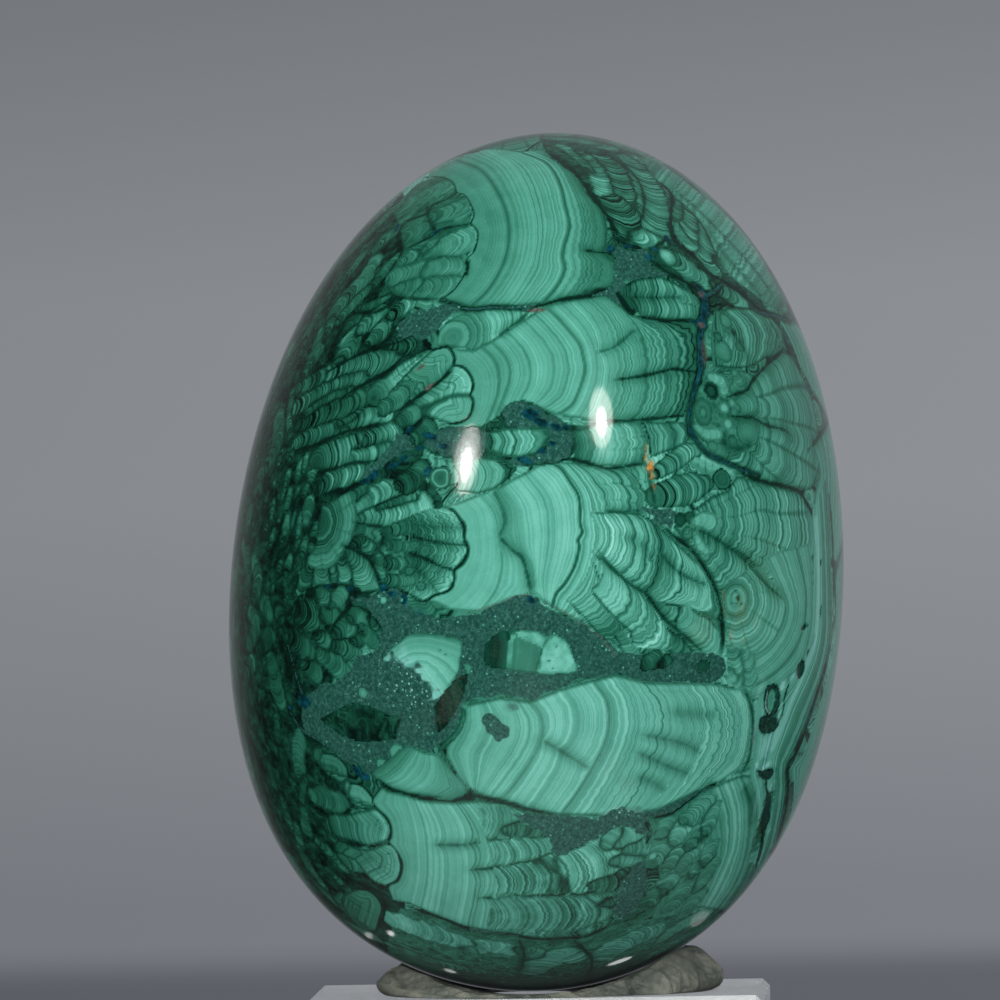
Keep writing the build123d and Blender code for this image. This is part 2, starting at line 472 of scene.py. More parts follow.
    def nodule(self, x, y, r, tone=(0.25, 0.5), amp=0.18, line=(0.7, 2.6), oval=1.0):
        """A round growth with rings."""
        o = lift([(x, y)])[0]
        i = self.box(o[None], 2.6 * r * max(oval, 1))
        d = (self.xy[i] - o) * self.lam[i][:, None]
        th = np.arctan2(d[:, 1], d[:, 0])
        rr = np.hypot(d[:, 0], d[:, 1] / oval) * (1 + 0.13 * noise2(1.3 * np.cos(th) + x, 1.3 * np.sin(th) + y, 11))
        ok = rr < r
        seam = line[0] * (1 - smooth(0.0, line[1], r - rr[ok]))
        t = np.clip(rr[ok] / r, 0, 1)
        self.put(i[ok], tone[0] + (tone[1] - tone[0]) * t, amp * smooth(0.15, 0.75, t), -rr[ok] * 1.15, seam)

    def matrix(self, ring, level=0.95, soft=2.0, blue=0.0, rough=3.0):
        """Speckled dark matrix inside a ring."""
        line = curve(list(ring) + [ring[0]])
        i = self.box(line, 8)
        inside = within(self.xy[i], line)
        d = near(self.xy[i], line)[0] * self.lam[i]
        d = np.where(inside, d, -d) + rough * noise2(self.xy[i, 0] / 6.0, self.xy[i, 1] / 6.0, 31)
        m = level * smooth(-soft, soft, d)
        self.matr[i] = np.maximum(self.matr[i], m)
        self.seam[i] = self.seam[i] * (1 - 0.8 * m)
        if blue:
            self.blue[i] = np.maximum(self.blue[i], blue * m)

    def vein(self, pts, width, blue=0.9, dark=0.85, halo=5.0):
        """A seam filled with deep teal, with a dark margin."""
        s = np.array([(p[0], p[1], p[2] if len(p) > 2 else 1.0) for p in pts], float)
        line = curve([(x, y) for x, y, _ in s])
        i = self.box(line, width + halo + 4)
        d, u, _, length = near(self.xy[i], line)
        cum = np.concatenate([[0], np.cumsum(np.hypot(*np.diff(s[:, :2], axis=0).T))])
        w = width / 2 * np.interp(u, cum / cum[-1], s[:, 2])
        w = w * (1 + 0.3 * noise2(u * length / 9.0, w * 0, 41))
        d = d * self.lam[i] + 0.7 * noise2(self.xy[i, 0] / 4.0, self.xy[i, 1] / 4.0, 43)
        core = 1 - smooth(w - 1.0, w + 0.8, d)
        self.seam[i] = np.maximum(self.seam[i], dark * (1 - smooth(w, w + halo, d)))
        self.blue[i] = np.maximum(self.blue[i] * (1 - core), blue * core)
        self.matr[i] = np.where(core > 0.3, np.maximum(self.matr[i], core), self.matr[i])

    def crack(self, pts, width=1.6, dark=0.9, bend=4.0, halo=7.0, shade=0.3):
        """A dark joint between columns; bands on both sides curl back towards it."""
        line = curve(pts)
        thin = min(width / 2.5, 1.0)
        width, dark = max(width, 2.5), dark * thin**0.5
        i = self.box(line, 3 * halo + 6)
        d, u, _, length = near(self.xy[i], line)
        d = d * self.lam[i]
        fade = smooth(0.0, 0.06, u) * (1 - 0.6 * smooth(0.9, 1.0, u))
        wob = width * (0.75 + 0.5 * noise2(u * length / 7.0, u * 0, 51))
        self.grow[i] += bend * np.exp(-((d / halo) ** 1.2)) * (u > 0.001) * (u < 0.999)
        s = dark * (1 - smooth(0.35 * wob, wob + 0.9, d)) * np.maximum(fade, 0.4)
        s = np.maximum(s, shade * fade * np.exp(-((d / halo) ** 2)))
        self.seam[i] = np.maximum(self.seam[i], s)

    def spot(self, x, y, rx, ry, channel, value=1.0, turn=0.0, soft=0.5, ragged=0.35):
        o = lift([(x, y)])[0]
        i = self.box(o[None], 3.2 * max(rx, ry))
        d = (self.xy[i] - o) * self.lam[i][:, None]
        c, s = math.cos(math.radians(turn)), math.sin(math.radians(turn))
        q = np.hypot((d[:, 0] * c + d[:, 1] * s) / rx, (-d[:, 0] * s + d[:, 1] * c) / ry)
        q = q * (1 + ragged * noise2(self.xy[i, 0] / (0.5 * max(rx, 3)), self.xy[i, 1] / (0.5 * max(rx, 3)), 61))
        m = value * (1 - smooth(1 - soft, 1 + soft, q))
        f = getattr(self, channel)
        if channel in ("tone",):
            f[i] += m
        elif value < 0:
            f[i] *= 1 + m
        else:
            f[i] = np.maximum(f[i], m)

    def stroke(self, pts, width, channel, value):
        """A thin stain along a line."""
        line = curve(pts)
        i = self.box(line, width + 4)
        d = near(self.xy[i], line)[0] * self.lam[i] + 0.5 * noise2(self.xy[i, 0] / 5.0, self.xy[i, 1] / 5.0, 63)
        f = getattr(self, channel)
        f[i] = np.maximum(f[i], value * (1 - smooth(0.4 * width, width, d)))

    def bundle(self, fingers, amp=0.2, fill=1.7, line=(0.85, 2.0), bend=1.0, ring=None, rim=0.6, soft=0.25):
        """Columns side by side that widen until they meet in thin dark joints. fingers: (spine, (tone at root, at tip)[, amp]), and a spine is (x, y, half width) from root to tip."""
        count = len(self.p)
        best, second = np.full(count, np.inf), np.full(count, np.inf)
        grow, width, tone, strength = np.zeros(count), np.ones(count), np.zeros(count), np.zeros(count)
        for number, finger in enumerate(fingers):
            s = np.array([p[:3] for p in finger[0]], float)
            path = curve([(x, y) for x, y, _ in s])
            i = self.box(path, 2.6 * fill * s[:, 2].max())
            if not len(i):
                continue
            xy, lam = self.xy[i], self.lam[i]
            d, u, side, length = near(xy, path)
            cum = np.concatenate([[0], np.cumsum(np.hypot(*np.diff(s[:, :2], axis=0).T))])
            half = np.interp(u, cum / cum[-1], s[:, 2])
            along = u * length * lam
            off = d * lam
            for at, way, end, sign in ((path[-1], path[-1] - path[-3], u >= 0.9999, 1.0), (path[0], path[0] - path[2], u <= 0.0001, -1.0)):
                way = way / np.linalg.norm(way)
                past = ((xy - at) @ way) * lam
                along = np.where(end, along + sign * past, along)
                off = np.where(end, np.abs((xy - at) @ np.array([-way[1], way[0]])) * lam, off)
            wob = 1 + 0.16 * noise2(along / 7.0, side * 3.0 + number, 77) + 0.10 * noise2(xy[:, 0] / 5.0, xy[:, 1] / 5.0, 78)
            cost = d * lam / half * wob
            ok = cost < fill
            i, cost, half, along, off, u, side = i[ok], cost[ok], half[ok], along[ok], off[ok], u[ok], side[ok]
            if len(i):
                wide = float(s[:, 2].max())
                lane = side * off + 0.8 * noise2(along / 11.0, side * 2.0, 81 + number)
                ruffle = cells(lane, 400 + number, max(4.4, 0.5 * wide))[0] ** 2.2 - 0.31
                along = along + min(0.09 * wide, 1.2) * ruffle
            better = cost < best[i]
            second[i] = np.where(better, best[i], np.minimum(second[i], cost))
            j = i[better]
            best[j] = cost[better]
            width[j] = half[better]
            grow[j] = along[better] + bend * 0.5 * half[better] * np.minimum(off[better] / half[better], 1.6) ** 2 + 61.0 * number
            rise = np.clip(u[better], 0, 1)
            tone[j] = finger[1][0] + (finger[1][1] - finger[1][0]) * rise
            strength[j] = finger[2] if len(finger) > 2 else amp
        i = np.nonzero(best < fill)[0]
        if ring is not None:
            i = i[within(self.xy[i], curve(list(ring) + [ring[0]]))]
        gap = np.where(np.isfinite(second[i]), (second[i] - best[i]) * width[i] * 0.5, 99.0)
        out = (fill - best[i]) * width[i]
        blot = noise2(self.xy[i, 0] / 9.0, self.xy[i, 1] / 9.0, 79)
        dark = line[0] * (0.8 + 0.2 * blot)
        seam = dark * (1 - smooth(0.15 * line[1], line[1], gap))
        seam = np.maximum(seam, soft * (1 - smooth(0.0, 3.2 * line[1], gap)))
        seam = np.maximum(seam, rim * (1 - smooth(0.0, 1.6 * line[1], out)))
        self.put(i, np.maximum(tone[i] + 0.05 * blot, 0.02), strength[i], grow[i], seam)


def paint_back(st):
    """The same growths all round the egg, where no single one is placed by hand: fans from scattered seeds meet in dark seams."""
    rng = np.random.default_rng(20)
    want, tries = [], 0
    area_s = np.linspace(-0.985, 0.985, 400)
    weight = np.sqrt(np.maximum(egg_square(area_s), 0)) * np.sqrt(1 + (0.5 * egg_slope(area_s) / EGG_HALF) ** 2 / np.maximum(egg_square(area_s), 1))
    cdf = np.cumsum(weight) / weight.sum()
    while len(want) < 420 and tries < 9000:
        tries += 1
        s, phi = np.interp(rng.random(), cdf, area_s), rng.random() * 2 * math.pi
        q, n = egg_points(np.array([s]), np.array([phi]))
        small = 0.5 + 0.5 * math.sin(2 * phi + 3.1 * s + 0.6)
        gap = 3.4 + 9.6 * small**1.6
        if all(np.linalg.norm(q[0] - w[0]) > gap for w in want):
            want.append((q[0], n[0], phi, s, small))
    seeds = np.array([w[0] for w in want])
    norms = np.array([w[1] for w in want])
    phis = np.array([w[2] for w in want])
    size = np.array([w[4] for w in want])
    flow = np.cos(phis)[:, None] * SIDE - np.sin(phis)[:, None] * FACE
    rise = np.cross(norms, flow)
    turn = np.radians(-28 + 26 * np.sin(phis + 0.4) + 22 * rng.standard_normal(len(want)))
    ahead = np.cos(turn)[:, None] * flow + np.sin(turn)[:, None] * rise
    across = np.cross(norms, ahead)
    start = 4.4 * rng.random(len(want))
    base = np.clip(0.37 + 0.26 * size + 0.10 * rng.standard_normal(len(want)), 0.20, 0.76)
    kind = rng.random(len(want))
    order = np.argsort(st.p @ AXIS, kind="stable")
    for c in range(0, len(order), 6000):
        i = order[c : c + 6000]
        p = st.p[i]
        h = p @ AXIS
        close = np.nonzero((seeds @ AXIS > h.min() - 24) & (seeds @ AXIS < h.max() + 24))[0]
        d = p[:, None, :] - seeds[close]
        u = (d * ahead[close]).sum(2)
        v = (d * across[close]).sum(2)
        w2 = np.maximum((d**2).sum(2) - u * u - v * v, 0)
        t = np.sqrt(np.where(u > 0, (0.74 * u) ** 2, (3.2 * u) ** 2) + (1.3 * v) ** 2 + w2) + start[close]
        two = np.argpartition(t, 1, axis=1)[:, :2]
        k = np.arange(len(i))
        ta, tb = t[k, two[:, 0]], t[k, two[:, 1]]
        swap = tb < ta
        first = np.where(swap, two[:, 1], two[:, 0])
        gapd = np.abs(tb - ta) / 2 / MM_PER_PX
        g = close[first]
        r = (t[k, first] - start[g]) / MM_PER_PX
        th = np.arctan2(v[k, first], np.maximum(u[k, first], -50))
        cell = np.floor(th / 0.26 + 7 * lattice(g, g * 0, 5))
        w = np.abs(2 * (th / 0.26 + 7 * lattice(g, g * 0, 5) - cell) - 1)
        rise_r = np.clip(r / 60, 0, 1)
        st.grow[i] = r + 4.0 * rise_r * (w**2 - 0.33) + 53.0 * g
        st.tone[i] = base[g] + 0.10 * np.sin(r / 13.0 + 5 * base[g] * 6)
        st.amp[i] = 0.30
        st.seam[i] = np.maximum(0.95 * (1 - smooth(0.6, 4.2, gapd)), 0.40 * smooth(0.8, 1.0, w) * rise_r)
        m = kind[g] < 0.07
        st.matr[i] = np.where(m, 0.95 * smooth(0.0, 3.0, gapd), 0.0)
        vein = smooth(0.5, 0.8, noise2(p[:, 0] / 9 + p[:, 1] / 13, p[:, 2] / 11, 9)) * (1 - smooth(1.0, 3.6, gapd))
        st.blue[i] = 0.9 * vein
        st.matr[i] = np.maximum(st.matr[i], vein)


def paint_left(st):
    """Left flank: dark ground, soft columns that run up to the right, and fans that open to the right."""
    f = st.finger
    st.area([(226, 700), (222, 560), (226, 440), (252, 340), (300, 262), (340, 220), (376, 190), (404, 196), (404, 296), (432, 346), (440, 386), (432, 430), (420, 470), (442, 500), (420, 540), (410, 592), (384, 604), (352, 640), (330, 690), (316, 730), (340, 770), (372, 800), (392, 850), (404, 890), (404, 930), (400, 962), (340, 940), (286, 868), (244, 780)], 0.10, 0.16)
    # columns that grow side by side
    grown = [
        # soft ones at the outline
        ([(268, 464, 7), (277, 442, 10), (279, 416, 8)], (0.2, 0.26), 0.14),
        ([(291, 442, 4), (289, 418, 5), (292, 394, 4)], (0.22, 0.28), 0.14),
        ([(258, 492, 8), (261, 474, 7)], (0.16, 0.2), 0.12),
        ([(246, 604, 6), (248, 572, 7), (244, 544, 6)], (0.18, 0.24), 0.12),
        ([(254, 598, 6), (258, 581, 8), (254, 561, 6)], (0.2, 0.28), 0.12),
        ([(249, 644, 6), (256, 626, 8), (250, 610, 6)], (0.2, 0.27), 0.12),
        ([(246, 676, 6), (252, 662, 7)], (0.16, 0.22), 0.12),
        ([(246, 540, 6), (250, 512, 7)], (0.14, 0.2), 0.12),
        ([(300, 352, 6), (307, 334, 7), (318, 312, 6)], (0.16, 0.22), 0.12),
        ([(308, 368, 7), (317, 351, 9), (322, 334, 8)], (0.2, 0.3), 0.14),
        ([(284, 376, 5), (291, 362, 6), (300, 350, 5)], (0.14, 0.22), 0.12),
        ([(270, 408, 6), (277, 392, 6)], (0.12, 0.18), 0.12),
        # upper flank
        ([(324, 338, 6), (335, 313, 9), (349, 295, 11), (364, 278, 10), (374, 262, 8)], (0.22, 0.34), 0.14),
        ([(340, 262, 6), (356, 246, 9), (374, 228, 9), (390, 212, 7)], (0.18, 0.28), 0.12),
        ([(336, 288, 5), (350, 272, 7), (362, 256, 6)], (0.16, 0.24), 0.12),
        ([(372, 252, 6), (386, 238, 8), (400, 228, 6)], (0.2, 0.32), 0.14),
        ([(376, 282, 5), (388, 268, 7), (398, 258, 6)], (0.22, 0.34), 0.14),
        ([(340, 319, 5), (352, 305, 7), (366, 291, 5)], (0.26, 0.34), 0.16),
        ([(358, 309, 3), (374, 304, 4), (388, 296, 3)], (0.24, 0.3), 0.12),
        ([(343, 357, 8), (349, 346, 11), (351, 335, 9)], (0.26, 0.42), 0.2),
        ([(345, 332, 5), (352, 323, 7), (357, 318, 5)], (0.22, 0.32), 0.16),
        ([(357, 333, 6), (367, 323, 9), (379, 315, 8)], (0.26, 0.44), 0.2),
        ([(369, 343, 5), (378, 333, 9), (385, 322, 7)], (0.24, 0.42), 0.2),
        ([(388, 318, 5), (398, 310, 8), (409, 302, 7)], (0.22, 0.46), 0.2),
        ([(386, 290, 6), (398, 284, 10), (414, 282, 12)], (0.28, 0.42), 0.16),
        # columns in rows
        ([(384, 346, 4), (400, 348, 6.5), (413, 345, 6)], (0.16, 0.22), 0.2),
        ([(298, 388, 5), (325, 376, 7), (350, 367, 8), (368, 365, 10), (385, 358, 10), (392, 355, 8)], (0.24, 0.38), 0.26),
        ([(296, 408, 7), (322, 392, 8), (345, 381, 8), (362, 375, 7)], (0.26, 0.36), 0.24),
        ([(306, 416, 5), (318, 404, 6), (332, 396, 6), (350, 391, 5)], (0.3, 0.26), 0.18),
        ([(300, 424, 6), (328, 411, 9), (348, 405, 9), (364, 400, 8)], (0.15, 0.22), 0.18),
        ([(340, 427, 6), (362, 417, 9), (378, 413, 9), (387, 412, 7)], (0.24, 0.52), 0.24),
        ([(292, 446, 5), (308, 438, 7), (330, 431, 7), (346, 428, 5)], (0.3, 0.3), 0.2),
        ([(360, 443, 7), (376, 438, 9.5), (391, 435, 9)], (0.22, 0.44), 0.3),
        ([(346, 463, 5), (362, 456, 9), (378, 450, 9), (387, 446, 8)], (0.48, 0.44), 0.24),
        ([(314, 489, 5), (334, 479, 8), (350, 472, 9), (360, 468, 8)], (0.18, 0.48), 0.26),
        # columns round the eye
        ([(348, 500, 4), (356, 494, 6), (364, 490, 5)], (0.3, 0.4), 0.18),
        ([(360, 507, 6), (371, 498, 9), (385, 492, 9), (395, 489, 8)], (0.52, 0.4), 0.26),
        ([(378, 508, 4), (396, 503, 6), (413, 497, 6)], (0.32, 0.46), 0.22),
        ([(354, 521, 5), (370, 517, 8), (390, 515, 11), (410, 511, 12), (419, 510, 11)], (0.48, 0.6), 0.24),
        ([(352, 527, 5), (362, 530, 7), (374, 533, 7)], (0.28, 0.46), 0.18),
        ([(356, 544, 5), (362, 540, 7), (368, 546, 6)], (0.22, 0.34), 0.18),
        ([(349, 556, 6), (359, 567, 10), (366, 579, 11), (369, 585, 8)], (0.34, 0.56), 0.26),
        ([(342, 558, 6), (344, 571, 8), (343, 579, 7)], (0.34, 0.5), 0.22),
        ([(332, 568, 5), (334, 576, 6)], (0.26, 0.4), 0.18),
        ([(322, 566, 8), (322, 577, 9), (320, 584, 7)], (0.32, 0.42), 0.22),
        ([(380, 557, 4), (382, 568, 6), (380, 576, 5)], (0.3, 0.5), 0.2),
        ([(390, 558, 5), (393, 570, 7), (394, 578, 6)], (0.3, 0.5), 0.2),
        ([(386, 551, 5), (397, 555, 6)], (0.4, 0.5), 0.18),
        ([(309, 569, 5), (303, 581, 8), (300, 590, 6)], (0.2, 0.3), 0.2),
    ]
    # short upright ones
    for x, y, h, w, v in (
        (272, 512, 22, 3.2, 0.34), (272, 538, 14, 3.6, 0.32), (288, 500, 17, 4.2, 0.4), (283, 496, 12, 3.0, 0.32), (287, 478, 12, 4.2, 0.36),
        (286, 526, 20, 4.6, 0.4), (293, 520, 15, 2.6, 0.3), (299, 526, 22, 3.4, 0.42), (299, 470, 14, 4.4, 0.38), (305, 463, 14, 4.0, 0.4),
        (313, 470, 16, 6.0, 0.38), (297, 545, 9, 3.0, 0.3), (304, 547, 13, 4.6, 0.34), (312, 544, 11, 4.4, 0.32), (283, 541, 8, 3.2, 0.26),
        (288, 565, 13, 5.0, 0.3), (279, 569, 14, 3.8, 0.22), (315, 534, 12, 5.4, 0.3), (308, 510, 19, 6.2, 0.42), (280, 458, 12, 4.0, 0.26),
        (291, 455, 10, 3.6, 0.28), (274, 484, 12, 3.4, 0.24), (279, 520, 12, 2.6, 0.26), (306, 489, 9, 4.0, 0.24), (318, 486, 10, 4.4, 0.26),
        (297, 492, 9, 3.0, 0.26), (266, 500, 14, 3.6, 0.18), (266, 530, 14, 3.6, 0.17), (296, 582, 10, 3.6, 0.18), (272, 590, 9, 3.0, 0.16),
        (300, 600, 9, 3.0, 0.15), (286, 600, 8, 3.0, 0.14),
    ):
        grown.append(([(x - 1.5, y + h / 2, 0.8 * w), (x, y, w), (x + 2, y - h / 2, 0.7 * w)], (0.7 * v, v), 0.16))
    grown = [(spine, (a, b + 0.06), 1.45 * c) for spine, (a, b), c in grown]
    st.bundle(grown, fill=1.5, line=(0.92, 2.2), rim=0.5, soft=0.4)
    st.crack([(344, 320), (358, 313), (372, 313), (386, 307), (396, 298), (404, 290)], 3.0, 0.85, 0)
    st.crack([(362, 334), (364, 344), (374, 347), (386, 341), (394, 332)], 2.4, 0.85, 0)
    st.crack([(333, 352), (335, 340), (343, 328)], 3.4, 0.8, 0)
    # fans of those rows: a dark eye, fine arcs, pale outside
    st.radial((374, 398), [(366, 392), (376, 382), (388, 376), (398, 366), (412, 358), (432, 350), (440, 366), (436, 386), (424, 396), (408, 402), (392, 409), (378, 408), (367, 404)], tone=(0.2, 0.62), reach=30, turn=0.5, depth=(0, 3), amp=0.24, edge=(0.6, 4), crack=0.4)
    st.radial((316, 463), [(310, 470), (309, 458), (318, 447), (330, 441), (346, 436), (362, 432), (363, 441), (352, 450), (349, 462), (340, 470), (326, 469)], tone=(0.2, 0.42), reach=42, turn=0.7, depth=(0, 2), amp=0.34, edge=(0.6, 4), crack=0.3)
    st.crack([(338, 401), (352, 391), (366, 383), (380, 376), (394, 366), (400, 356)], 3.2, 0.9, 0)
    st.crack([(326, 373), (346, 361), (366, 352), (388, 345), (406, 340)], 3.0, 0.9, 0)
    st.crack([(366, 405), (386, 408), (402, 404), (414, 398), (428, 388)], 2.8, 0.9, 0)
    st.crack([(336, 428), (352, 421), (364, 409)], 2.2, 0.7, 0)
    st.crack([(292, 451), (310, 447), (326, 440), (346, 432), (366, 427), (388, 423)], 3.4, 0.92, 0)
    st.crack([(316, 474), (336, 468), (352, 463), (368, 462), (384, 458)], 2.6, 0.85, 0)
    st.crack([(322, 494), (340, 491), (356, 486), (368, 478), (376, 468)], 4.0, 0.9, 0)
    # fan about an eye
    st.radial((320, 523), [(322, 506), (336, 499), (350, 492), (356, 504), (357, 520), (353, 532), (351, 541), (341, 555), (334, 565), (322, 571), (308, 565), (309, 556), (316, 545), (317, 530)], tone=(0.2, 0.48), reach=44, turn=0.55, depth=(0, 2.4), amp=0.28, edge=(0.45, 4), crack=0.25)
    st.radial((383, 538), [(379, 530), (392, 527), (405, 527), (414, 534), (409, 545), (398, 551), (386, 548)], tone=(0.14, 0.58), reach=26, turn=0.6, depth=(0, 2), amp=0.24, edge=(0.5, 3), crack=0.3)
    st.crack([(354, 522), (372, 526), (392, 527), (410, 526), (424, 521)], 2.4, 0.85, 0)
    st.crack([(342, 545), (356, 551), (366, 557), (374, 568), (379, 580), (381, 588)], 3.0, 0.88, 0)
    st.crack([(376, 540), (372, 532), (380, 526)], 2.2, 0.7, 0)
    st.crack([(394, 549), (408, 552), (424, 558), (436, 566)], 2.4, 0.8, 0)
    st.crack([(304, 590), (322, 587), (342, 586), (356, 592), (368, 593), (382, 588)], 4.0, 0.9, 0)
    # speckled patches and teal stains between the rows
    st.matrix([(397, 433), (419, 440), (410, 450), (399, 456), (380, 467), (367, 477), (362, 474), (378, 458), (390, 444)], 0.9)
    for x, y, rx, ry, v in ((374, 475, 6, 4, 0.9), (366, 481, 5, 3, 0.9), (404, 458, 6, 3, 0.8), (394, 465, 7, 3, 0.8), (410, 430, 6, 4, 0.9), (416, 437, 5, 3, 0.7), (400, 424, 4, 4, 0.7), (420, 448, 6, 2.5, 0.8), (300, 512, 2, 7, 0.5), (294, 531, 2, 6, 0.5), (326, 588, 9, 2.6, 0.8), (350, 589, 7, 3, 0.7)):
        st.spot(x, y, rx, ry, "blue", v, -20)
    st.matrix([(388, 341), (396, 334), (400, 323), (412, 315), (428, 309), (446, 304), (458, 308), (447, 319), (434, 331), (424, 340), (410, 337)], 0.95)
    st.matrix([(346, 591), (362, 598), (378, 592), (394, 588), (404, 598), (413, 611), (412, 622), (384, 621), (370, 611), (356, 606)], 0.95)
    for x, y, rx, ry in ((384, 588, 4, 5), (404, 600, 4, 6), (392, 594, 5, 3)):
        st.spot(x, y, rx, ry, "blue", 0.9)
    for x, y, r in ((383, 600, 4), (379, 596, 2.4), (404, 612, 2.2), (402, 600, 2), (378, 602, 1.6), (384, 592, 1.6)):
        st.nodule(x, y, r, tone=(0.7, 0.6), amp=0.05, line=(0.3, 1.0))


